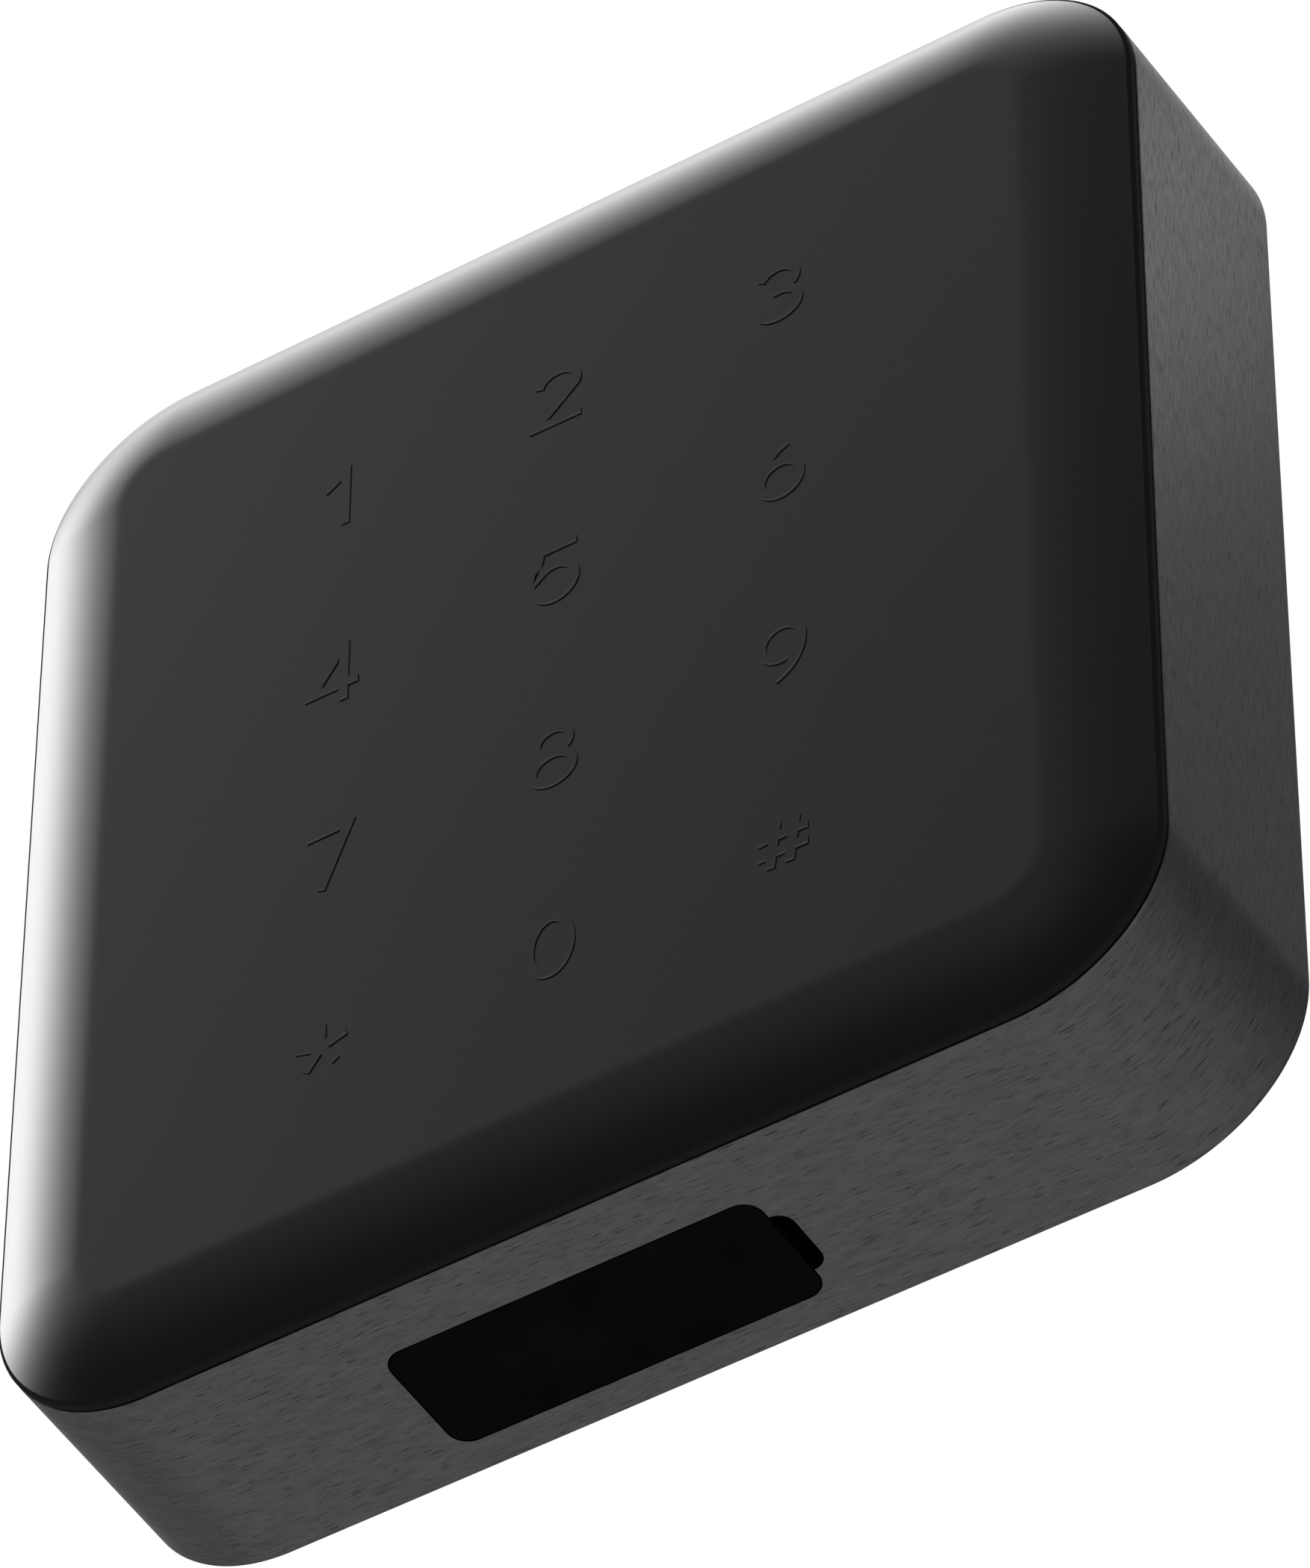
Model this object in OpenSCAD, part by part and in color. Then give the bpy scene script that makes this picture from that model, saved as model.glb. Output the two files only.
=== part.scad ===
// Wall keypad with a touch face, a metal housing band and a battery drawer in its bottom wall.
// X runs to the right, Y runs back into the wall and Z runs up. The wall is the plane y = 0.

/* [Housing] */
// Width of the housing at the wall
body_w = 110; // [104:0.5:130]
// Height of the housing at the wall
body_h = 119.3; // [116:0.1:140]
// Depth of the housing from the wall to the cover seam
body_d = 21.1; // [20.6:0.1:30]
// Corner radius of the housing at the wall
corner_r = 14.9; // [13.5:0.1:20]
// How far each side draws in from the wall to the seam
draft = 0.4; // [0.1:0.05:0.8]
// Thickness of the housing's side walls
wall = 2.2; // [1.6:0.1:2.8]
// How far the inner shoulder stands in from the wall
shoulder_w = 1.2; // [0.8:0.1:2]
// Thickness of the inner shoulder
shoulder_t = 1.6; // [1:0.1:2.4]

/* [Front cover] */
// How far the face stands in front of the seam
cover_rise = 3.55; // [3:0.05:5]
// How far the cover's dome stays inside the housing's edge
rim_inset = 0.38; // [0.2:0.02:0.6]
// Height of the dome's rim in front of the seam
rim_h = 1; // [0.8:0.05:1.6]
// Height of the lip round the dome in front of the seam
lip_h = 0.9; // [0.5:0.05:1.2]
// How far the lip stays inside the housing's edge
lip_inset = 0.04; // [0:0.02:0.2]
// Width of the curved border round the flat face
border_w = 9.12; // [6:0.02:10]
// Tilt of the border where it leaves the flat face, in degrees
border_tilt = 3; // [1:0.5:6]
// Thickness of the cover
cover_t = 2; // [1.4:0.1:2.3]
// Gap of the seam between the cover and the housing
seam_gap = 0.2; // [0.1:0.05:0.4]
// Length of the skirt behind the seam
skirt_l = 1.9; // [1.5:0.1:3]
// Thickness of the skirt
skirt_t = 1.5; // [1.1:0.1:2]
// Thickness of the seal under the skirt
seal_t = 0.8; // [0.5:0.1:1.2]
// Outer radius of the screw bosses inside the cover
cover_boss_r = 2.3; // [2:0.1:2.5]
// Distance of the cover's screws above and below the middle
cover_boss_z = 26; // [22:0.5:30]

/* [Chassis] */
// Thickness of the chassis plate
chassis_t = 1.6; // [1.2:0.1:2]
// Thickness of the chassis skirt
chassis_skirt_t = 1.4; // [1:0.1:2]
// Thickness of the walls round the battery bay
bay_wall = 1.4; // [1:0.1:1.8]
// Thickness of the stiffening ribs
rib_t = 1; // [0.8:0.1:1.6]
// Depth of the stiffening ribs
rib_h = 2.4; // [1.5:0.1:3]
// Distance from the cover's screws up and down to the stiffening ribs
rib_off = 10; // [8:0.5:12]
// Outer radius of the screw bosses
boss_r = 2.9; // [2.6:0.1:3.3]
// Distance from the case screws to the housing's inner sides
boss_in = 8.2; // [7.8:0.1:9]

/* [Rear cover and wall bracket] */
// How far the rear cover is set in from the wall
rear_inset = 0.2; // [0:0.05:0.5]
// Thickness of the rear cover over the bracket
rear_t = 1.2; // [1:0.1:1.3]
// Distance from the wall bracket to the housing's sides
bracket_side = 13; // [11:0.5:14]
// Distance from the wall bracket to the housing's top and bottom
bracket_end = 19.65; // [18.5:0.05:21]
// Corner radius of the wall bracket
bracket_r = 6; // [3:0.5:10]
// Thickness of the bracket's sheet steel
bracket_t = 1.5; // [1.2:0.1:1.6]
// Clearance between the bracket and the rear cover
bracket_clear = 0.3; // [0.2:0.05:0.4]
// How far the keypad lifts to come off the hooks
lift = 8; // [7.5:0.5:9]
// Width of a hook
hook_w = 10; // [8:0.5:12]
// Height of a hook's tongue above its leg
hook_h = 5; // [4:0.5:6]
// Distance from a hook to the bracket's side
hook_side = 3; // [2:0.5:4]
// Height of the upper hooks' legs above the middle
hook_top = 8; // [6:0.5:10]
// Distance between the upper and the lower hooks
hook_step = 22; // [20:0.5:24]
// Distance between the wall screws, across and up
screw_pitch = 60; // [56:0.5:62]
// Radius of the holes for the wall screws
wall_hole_r = 2.25; // [2:0.05:2.6]
// Radius left free round the head of a wall screw
wall_head_r = 4.6; // [4.2:0.1:5]
// Height left free in front of the bracket for the head of a wall screw
wall_head_h = 3.4; // [3:0.1:4]

/* [Boards] */
// Gap between the main board and the bosses of the case screws
board_side = 1.3; // [0.6:0.1:3]
// Gap between the battery bay and the main board
board_low = 1.5; // [1:0.1:3]
// Gap between the main board and the housing's inner top
board_end = 5; // [4:0.1:7]
// Thickness of the main board
board_t = 1.6; // [1:0.1:1.6]
// Distance from the rear cover to the main board
board_back = 8; // [7.6:0.1:8.5]
// Thickness of the touch board
touch_t = 1; // [0.6:0.1:1.2]
// Thickness of the adhesive sheet between the cover and the touch board
bond_t = 0.25; // [0.1:0.05:0.4]
// How far the touch board stays inside the flat of the face
touch_margin = 0.6; // [0.3:0.1:2]
// Width of the processor
chip_w = 10; // [8:0.5:12]
// Thickness of the processor
chip_t = 1.2; // [0.8:0.1:1.6]
// Radius of a capacitor
cap_r = 2.5; // [2:0.1:3]
// Height of a capacitor
cap_h = 5; // [4:0.1:6]
// Width of the shield can
can_w = 16; // [12:0.5:18]
// Height of the shield can along the board
can_l = 13; // [10:0.5:14]
// Height of the shield can off the board
can_h = 2.2; // [1.6:0.1:2.4]
// Thickness of the shield can's sheet
can_t = 0.3; // [0.2:0.05:0.4]
// Length of the antenna
antenna_l = 30; // [24:0.5:36]
// Width of the antenna's strip
antenna_w = 2; // [1.5:0.1:2.5]
// Height of the antenna off the board
antenna_h = 2.6; // [2:0.1:3]
// Radius of the sounder
sounder_r = 6; // [5:0.1:7]
// Height of the sounder
sounder_h = 5.5; // [4:0.1:6]
// Width of the ribbon cable
ribbon_w = 10; // [8:0.5:14]
// Thickness of the ribbon cable
ribbon_t = 0.3; // [0.2:0.05:0.4]
// Distance from the main board's side to the ribbon cable's middle
ribbon_side = 18; // [16:0.5:22]
// Height of a ribbon socket along the board
socket_l = 4; // [3:0.1:5]
// Height of a ribbon socket off its board
socket_h = 1.6; // [1.2:0.1:2]

/* [Battery drawer] */
// Diameter of a cell
cell_d = 10.5; // [10.3:0.05:10.7]
// Length of a cell with its nub
cell_l = 44.5; // [43.5:0.1:45]
// Radius of a cell's nub
nub_r = 1.9; // [1.5:0.1:2.4]
// Height of a cell's nub
nub_h = 0.9; // [0.6:0.1:1.2]
// Gap between two cells
cell_gap = 0.25; // [0.1:0.05:0.5]
// Thickness of the tray's side walls
tray_wall = 1.05; // [0.9:0.05:1.3]
// Plastic left behind and in front of the cells
tray_lip = 0.35; // [0.25:0.05:0.5]
// Thickness of the tray's floor
tray_floor = 1.5; // [1.2:0.1:2]
// Thickness of the tray's top wall
tray_top = 1.2; // [1:0.1:1.6]
// Clearance round the tray and the hatch plate
bay_clear = 0.3; // [0.2:0.05:0.4]
// Distance from the rear cover to the hatch
hatch_back = 0.25; // [0.2:0.05:1]
// Offset of the hatch from the middle of the housing
hatch_x = -4.5; // [-8:0.5:2]
// Thickness of the hatch plate
hatch_t = 1.8; // [1.4:0.1:2]
// Corner radius of the hatch
hatch_r = 1.9; // [1:0.1:2.5]
// Length of the nail notch
notch_l = 6.8; // [5:0.1:8]
// Width of the nail notch
notch_w = 1.5; // [1:0.1:2]
// Corner radius of the nail notch
notch_r = 1.2; // [0.6:0.1:1.4]
// Thickness of the contact sheet
contact_t = 0.4; // [0.3:0.05:0.5]
// Length of a pressed contact spring
spring_l = 3.2; // [2.6:0.1:4]
// Wire radius of the contact springs
spring_wire_r = 0.25; // [0.2:0.01:0.3]
// Width of a contact plate
contact_w = 8; // [7:0.1:9]
// Width of the strip that brings the last pole to the top of the bay
strip_w = 3; // [2:0.1:4]

/* [Tamper switch] */
// Radius of the plunger
plunger_r = 2; // [1.6:0.1:2.4]
// Running clearance round the plunger, on the radius
plunger_clear = 0.08; // [0.05:0.01:0.1]
// Distance from the plunger's centre to the wall bracket
plunger_off = 6; // [5:0.5:7]
// Outer width of the switch
switch_w = 8; // [7.6:0.1:9]
// Height of the switch off the main board
switch_h = 6.2; // [6:0.1:6.6]
// How far the plunger springs out when the wall is gone
plunger_travel = 2; // [1.5:0.1:2.2]

/* [Fasteners] */
// Shank radius of the case screws
case_screw_r = 1.5; // [1.2:0.05:1.6]
// Shank radius of the board and cover screws
small_screw_r = 1.1; // [0.9:0.05:1.2]
// Clearance round a screw's shank, on the radius
screw_clear = 0.05; // [0.03:0.01:0.1]
// Height of the case screws' heads
case_head_h = 1.4; // [1.1:0.1:1.6]
// Height of the small screws' heads
small_head_h = 1.3; // [1:0.1:1.5]
// How far the case screws reach forwards from their heads
case_screw_l = 9; // [8:0.5:10]
// How far the small screws reach forwards from their heads
small_screw_l = 4.5; // [4:0.1:4.8]

/* [Hidden] */
$fn = 64;

fit = 0.15;      // gap between pieces that drop into each other
slip = 0.1;      // gap between pieces that are pushed together
leaf_gap = 0.02; // gap between the leaf contact and the bay's wall
wipe = 0.05;     // gap between the leaf contact and the return strip
cut = 1;         // how far a cutter runs past the face it opens
lap = 0.5;       // how far two forms of one piece run into each other
head_ratio = 1.87; // a screw's head against its shank
recess_l = 1.1;  // length of a screw's cross recess against its head's radius
recess_w = 0.3;  // width of the recess against its head's radius

// Depths, from the wall forwards
seam_y = -body_d;
face_y = seam_y - cover_rise;
rear_floor_y = -(bracket_t + bracket_clear);
rear_in_y = rear_floor_y - rear_t;
shoulder_y = rear_in_y - shoulder_t;
skirt_y = seam_y + skirt_l;
plate_front_y = skirt_y + seal_t;
plate_y = plate_front_y + chassis_t;

// Outline of the housing at the seam and inside
front_w = body_w - 2 * draft;
front_h = body_h - 2 * draft;
front_r = corner_r - draft;
in_w = front_w - 2 * wall;
in_h = front_h - 2 * wall;
in_r = front_r - wall;
rebate_w = body_w - 2 * wall;
rebate_h = body_h - 2 * wall;
rebate_r = corner_r - wall;

// Cover
rim_w = front_w - 2 * rim_inset;
rim_hh = front_h - 2 * rim_inset;
rim_r = front_r - rim_inset;
lip_w = front_w - 2 * lip_inset;
lip_hh = front_h - 2 * lip_inset;
border_drop = cover_rise - rim_h;
border_chord = sqrt(border_w * border_w + border_drop * border_drop);
border_r = border_chord / (2 * sin(atan(border_drop / border_w) - border_tilt));
cover_in_y = face_y + cover_t;
skirt_w = in_w - 2 * fit;
skirt_hh = in_h - 2 * fit;
skirt_r = in_r - fit;
flat_w = rim_w - 2 * border_w;
flat_h = rim_hh - 2 * border_w;

// Battery bay and drawer
cell_r = cell_d / 2;
cell_pitch = cell_d + cell_gap;
tray_w = 3 * cell_d + 2 * cell_gap + 2 * tray_wall;
tray_d = cell_d + 2 * tray_lip;
hatch_w = tray_w + 2 * bay_clear;
hatch_d = tray_d + 2 * bay_clear;
hatch_y = rear_in_y - hatch_back - hatch_d / 2;
floor_z = -front_h / 2 - draft * (seam_y - hatch_y) / seam_y;
tray_z = floor_z + hatch_t;
cell_seat_z = tray_z + tray_floor;
tray_top_z = cell_seat_z + spring_l + cell_l - nub_h;
tray_end_z = tray_top_z + tray_top;
bay_top_z = tray_end_z + contact_t + fit;
bay_roof_z = bay_top_z + bay_wall;
leaf_x = hatch_x - hatch_w / 2 + leaf_gap;
leaf_t = bay_clear - leaf_gap - wipe;

// Boards
board_y = rear_in_y - board_back;
board_low_z = bay_roof_z + board_low;
board_top_z = in_h / 2 - board_end;
touch_y = cover_in_y + bond_t;
boss_x = in_w / 2 - boss_in;
boss_z = in_h / 2 - boss_in;
boss_wall = 1.2;       // plastic round the bore of a board screw
bore_end = 0.6;        // plastic left at the end of a cover screw's bore
cover_boss_gap = 0.4;  // gap between a cover boss and the skirt
cover_boss_x = skirt_w / 2 - skirt_t - cover_boss_r - cover_boss_gap;
board_w = 2 * (boss_x - boss_r - board_side);
board_r = 1.5;         // corner radius of the board
board_screw_in = 4;    // from the board's sides to its screws
board_screw_low = 6;   // from the board's low edge to its lower screws
board_screw_top = 5;   // from the board's top edge to its upper screws
board_screw_x = board_w / 2 - board_screw_in;
board_boss_r = small_screw_r + boss_wall;
low_screw_z = board_low_z + board_screw_low;
top_screw_z = board_top_z - board_screw_top;

// Parts on the main board: place across from the middle and up from the board's low edge, and size
part_gap = 1.5;
chip_x = -4;
chip_up = 24;
driver_x = 10;
driver_up = 34;
driver_w = 6;
driver_t = 1;
regulator_x = -20;
regulator_up = 12;
regulator_w = 5;
regulator_l = 4;
regulator_t = 1.4;
can_x = board_boss_r + part_gap + can_w / 2 - board_screw_x;
can_z = cover_boss_z;  // between two ribs
cap_x = 8;
cap_up = 18;
sounder_x = -14;
sounder_up = 24;
sounder_port_r = 1;
antenna_x = -14;
antenna_t = 0.5;
antenna_down = 4;
feed_step = 8;
ribbon_x = board_w / 2 - ribbon_side;
socket_up = 1;         // from the board's low edge to the rear socket
socket_step = 14;      // from the rear socket up to the front one
socket_side = 1.5;     // plastic at each end of a socket
tail_w = 3;            // width of a contact's solder tail
tail_up = 3;           // how far a tail reaches up the board

// Bracket and its hooks: the keypad's windows rest on the hooks' legs
bracket_w = body_w - 2 * bracket_side;
bracket_h = body_h - 2 * bracket_end;
hook_gap = 0.4;        // gap round a hook in its window
recess_gap = 0.5;      // gap round the bracket in the rear cover
head_wall = 1.2;       // plastic beside a wall screw's head
head_roof = 1;         // plastic in front of a wall screw's head
seat_t = 1.2;          // plastic under a case screw's head
head_gap = 0.5;        // gap round a case screw's head
hook_x = bracket_w / 2 - hook_side - hook_w / 2;
hook_z = [hook_top, hook_top - hook_step];
hook_in_y = rear_in_y - hook_gap;

// Plunger
plunger_z = bracket_h / 2 + plunger_off;
collar_w = 0.9;        // how far the plunger's collar stands out
collar_l = 2;          // length of the collar
switch_floor = 0.6;    // thickness of the switch's floor
tamper_wire_r = 0.2;   // wire radius of the plunger's spring
spring_side = 0.7;     // from the collar's rim to the spring's middle line
collar_r = plunger_r + collar_w;
switch_y = board_y + switch_h;
collar_y = rear_in_y - slip - plunger_travel;

// Contacts
spring_r = 2.8;        // radius of a contact spring's wide end
spring_tip_r = 1.6;    // radius of its narrow end
leaf_l = 6;            // how far the leaf reaches down into the bay
leaf_back = 1.2;       // how far the leaf reaches behind the cells' middle
nail_room = 2.5;       // height left free for a fingernail behind the hatch plate
window_w = 4;          // width of the tray's windows
window_end = 6;        // from a window to the end of its cell
crimp = 0.6;           // rounding at a cell's ends
button_r = 0.85 * nub_r; // radius of the buttons that meet the nubs
corner_gap = 0.4;      // gap between a contact plate's corners and the round of the tray
contact_back = sqrt(cell_r * cell_r - contact_w * contact_w / 4) - corner_gap;

// ---- Plain forms ----

// Rounded rectangle
module rounded(w, h, r) {
    square([w - 2 * r, h], center = true);
    square([w, h - 2 * r], center = true);
    for (x = [-1, 1], y = [-1, 1])
        translate([x * (w / 2 - r), y * (h / 2 - r)]) circle(r);
}

// Upright slot with round ends, from its top centre down by run
module slot(r, run) {
    circle(r);
    translate([-r, -run]) square([2 * r, run]);
    translate([0, -run]) circle(r);
}

// Stands what is drawn on X and Z between two depths
module depth(y0, y1) {
    rotate([90, 0, 0]) translate([0, 0, -y1]) linear_extrude(y1 - y0) children();
}

// Rounded slab between two depths
module slab(w, h, r, y0, y1) {
    depth(y0, y1) rounded(w, h, r);
}

// Round bar along Y between two depths
module bar(r, y0, y1, x = 0, z = 0) {
    translate([x, y1, z]) rotate([90, 0, 0]) cylinder(h = y1 - y0, r = r);
}

// Block between two corners
module block(a, b) {
    translate(a) cube(b - a);
}

// The housing's outer form: straight walls that draw in towards the front, and cones in the corners
module drafted_form() {
    half_w = body_w / 2;
    half_h = body_h / 2;
    linear_extrude(body_h - 2 * corner_r, center = true)
        polygon([[-half_w, 0], [half_w, 0], [half_w - draft, seam_y], [draft - half_w, seam_y]]);
    rotate([0, 90, 0]) linear_extrude(body_w - 2 * corner_r, center = true)
        polygon([[-half_h, 0], [half_h, 0], [half_h - draft, seam_y], [draft - half_h, seam_y]]);
    for (x = [-1, 1], z = [-1, 1])
        translate([x * (half_w - corner_r), 0, z * (half_h - corner_r)])
            rotate([90, 0, 0]) cylinder(h = body_d, r1 = corner_r, r2 = front_r);
}

// Half of a pillow's section: flat to u = flat, then an arc that falls to u = rim; v runs forwards
module border_section(flat, rim, front, back, arc_r) {
    translate([0, back]) square([flat, front - back]);
    intersection() {
        translate([flat - arc_r * sin(border_tilt), front - arc_r * cos(border_tilt)])
            circle(arc_r, $fn = 180);
        translate([flat - lap, back]) square([rim - flat + lap, front - back]);
    }
}

// Slab whose front edge falls away in an arc, swept round all four sides and corners
module pillow(w, h, r, border, y0, y1, arc_r) {
    // straight stretches along both pairs of sides
    translate([0, y0, 0]) mirror([0, 1, 0]) {
        for (side = [0, 1]) mirror([side, 0, 0])
            linear_extrude(h - 2 * r, center = true)
                border_section(w / 2 - border, w / 2, 0, y0 - y1, arc_r);
        for (side = [0, 1]) mirror([0, 0, side])
            rotate([0, -90, 0]) linear_extrude(w - 2 * r, center = true)
                border_section(h / 2 - border, h / 2, 0, y0 - y1, arc_r);
        for (x = [0, 1], z = [0, 1])
            mirror([x, 0, 0]) mirror([0, 0, z]) translate([w / 2 - r, 0, h / 2 - r])
                rotate([-90, 0, 0]) rotate([0, 0, -90])
                    rotate_extrude(angle = 90) border_section(r - border, r, 0, y0 - y1, arc_r);
    }
}

// Screw along Y with its head towards the wall: head's seat at y, shank running forwards
module screw(y, shank_r, shank_l, head_h) {
    head_r = head_ratio * shank_r;
    difference() {
        union() {
            bar(shank_r, y - shank_l, y + lap);
            bar(head_r, y, y + head_h);
        }
        for (a = [0, 90])
            translate([0, y + head_h, 0]) rotate([0, a, 0])
                cube([recess_l * head_r, head_h, recess_w * head_r], center = true);
    }
}

// Coil spring standing on z = 0, from radius r0 at the foot to r1 at the head
module coil(r0, r1, wire_r, length, turns) {
    steps = 14;
    sides = 6;
    count = turns * steps;
    function ring(i) = [
        for (k = [0 : sides - 1])
            let (
                t = i / count,
                turn = 360 * turns * t,
                side = 360 * k / sides,
                r = r0 + (r1 - r0) * t + wire_r * cos(side)
            )
            [r * cos(turn), r * sin(turn), wire_r + (length - 2 * wire_r) * t + wire_r * sin(side)]
    ];
    points = [for (i = [0 : count]) each ring(i)];
    skin = [
        for (i = [0 : count - 1], k = [0 : sides - 1])
            let (a = i * sides + k, b = i * sides + (k + 1) % sides)
            [a, a + sides, b + sides, b]
    ];
    foot = [for (k = [0 : sides - 1]) k];
    head = [for (k = [sides - 1 : -1 : 0]) count * sides + k];
    polyhedron(points, concat(skin, [foot, head]), convexity = 8);
}

function cell_x(i) = hatch_x + (i - 1) * cell_pitch;

// ---- Wall bracket ----

// Leg and tongue of one hook, bent up out of the sheet with a round outer bend
module hook_section() {
    reach = -hook_in_y;
    translate([0, -bracket_t]) square([reach, bracket_t]);
    translate([reach, 0]) square([bracket_t, hook_h]);
    intersection() {
        translate([reach, 0]) circle(bracket_t);
        translate([reach - lap, -bracket_t]) square([bracket_t + lap, bracket_t]);
    }
}

module hook(z) {
    for (side = [-1, 1])
        translate([side * hook_x - hook_w / 2, 0, z])
            rotate([90, 0, 90]) mirror([1, 0]) linear_extrude(hook_w) hook_section();
}

module wall_bracket() {
    color("#8d9094") {
        difference() {
            slab(bracket_w, bracket_h, bracket_r, -bracket_t, 0);
            for (x = [-1, 1], z = [-1, 1])
                bar(wall_hole_r, -bracket_t - cut, cut, x * screw_pitch / 2, z * screw_pitch / 2);
            // the opening above each leg that its tongue was cut and bent from
            for (z = hook_z, side = [-1, 1])
                block(
                    [side * hook_x - hook_w / 2 - fit, -bracket_t - cut, z],
                    [side * hook_x + hook_w / 2 + fit, cut, z + hook_h - hook_in_y]
                );
        }
        for (z = hook_z)
            hook(z);
    }
}

// ---- Housing ----

// The hatch's opening, drawn on X and Y about its middle
module hatch_outline(clear) {
    translate([hatch_x, hatch_y]) rounded(hatch_w - 2 * clear, hatch_d - 2 * clear, hatch_r - clear);
}

module notch_outline() {
    translate([hatch_x + hatch_w / 2 - notch_r, hatch_y])
        rounded(2 * (notch_w + notch_r), notch_l, notch_r);
}

module housing() {
    color("#3a3a3a") difference() {
        drafted_form();
        slab(in_w, in_h, in_r, seam_y - cut, shoulder_y);
        slab(
            in_w - 2 * shoulder_w, in_h - 2 * shoulder_w, in_r - shoulder_w,
            shoulder_y - cut, rear_in_y + cut
        );
        slab(rebate_w, rebate_h, rebate_r, rear_in_y, cut);
        translate([0, 0, -body_h / 2 - cut]) linear_extrude(wall + draft + 2 * cut) {
            hatch_outline(0);
            notch_outline();
        }
        // the shoulder stops at the drawer's mouth
        block(
            [hatch_x - hatch_w / 2 - bay_wall - 2 * fit, shoulder_y - cut, -in_h / 2],
            [hatch_x + hatch_w / 2 + bay_wall + 2 * fit, rear_in_y + lap, -in_h / 2 + shoulder_w + cut]
        );
    }
}

// ---- Front cover, seal and touch board ----

module cover_boss_places() {
    for (x = [-1, 1], z = [-1, 1])
        translate([x * cover_boss_x, 0, z * cover_boss_z]) children();
}

module front_cover() {
    hollow_w = skirt_w - 2 * skirt_t;
    hollow_h = skirt_hh - 2 * skirt_t;
    hollow_border = (hollow_w - flat_w) / 2 + cover_t * sin(border_tilt);
    color("#0c0c0c") difference() {
        union() {
            pillow(rim_w, rim_hh, rim_r, border_w, face_y, seam_y - seam_gap, border_r);
            slab(lip_w, lip_hh, front_r - lip_inset, seam_y - lip_h, seam_y - seam_gap);
            slab(skirt_w, skirt_hh, skirt_r, seam_y - seam_gap - lap, skirt_y);
        }
        difference() {
            pillow(
                hollow_w, hollow_h, skirt_r - skirt_t, hollow_border,
                cover_in_y, skirt_y + cut, border_r - cover_t
            );
            cover_boss_places() bar(cover_boss_r, cover_in_y - cut, skirt_y);
        }
        cover_boss_places() bar(small_screw_r + screw_clear, cover_in_y + bore_end, skirt_y + cut);
    }
}

module cover_seal() {
    color("#202020") difference() {
        slab(skirt_w, skirt_hh, skirt_r, skirt_y, plate_front_y);
        slab(
            skirt_w - 2 * skirt_t, skirt_hh - 2 * skirt_t, skirt_r - skirt_t,
            skirt_y - cut, plate_front_y + cut
        );
    }
}

// Sheet behind the flat of the face
module touch_sheet(y0, y1) {
    slab(flat_w - 2 * touch_margin, flat_h - 2 * touch_margin, rim_r - border_w, y0, y1);
}

module adhesive_sheet() {
    color("#d8d8d8") touch_sheet(cover_in_y, touch_y);
}

module touch_board() {
    color("#1f5a36") touch_sheet(touch_y, touch_y + touch_t);
}

// ---- Chassis ----

module case_boss_places() {
    for (x = [-1, 1], z = [-1, 1])
        translate([x * boss_x, 0, z * boss_z]) children();
}

module board_boss_places() {
    for (x = [-1, 1], z = [low_screw_z, top_screw_z])
        translate([x * board_screw_x, 0, z]) children();
}

// Everything that the drawer passes through, from the housing's mouth up to the bay's top wall
module bay_space(top_z) {
    block(
        [hatch_x - hatch_w / 2, plate_y, -body_h / 2],
        [hatch_x + hatch_w / 2, rear_in_y + cut, top_z]
    );
}

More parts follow.
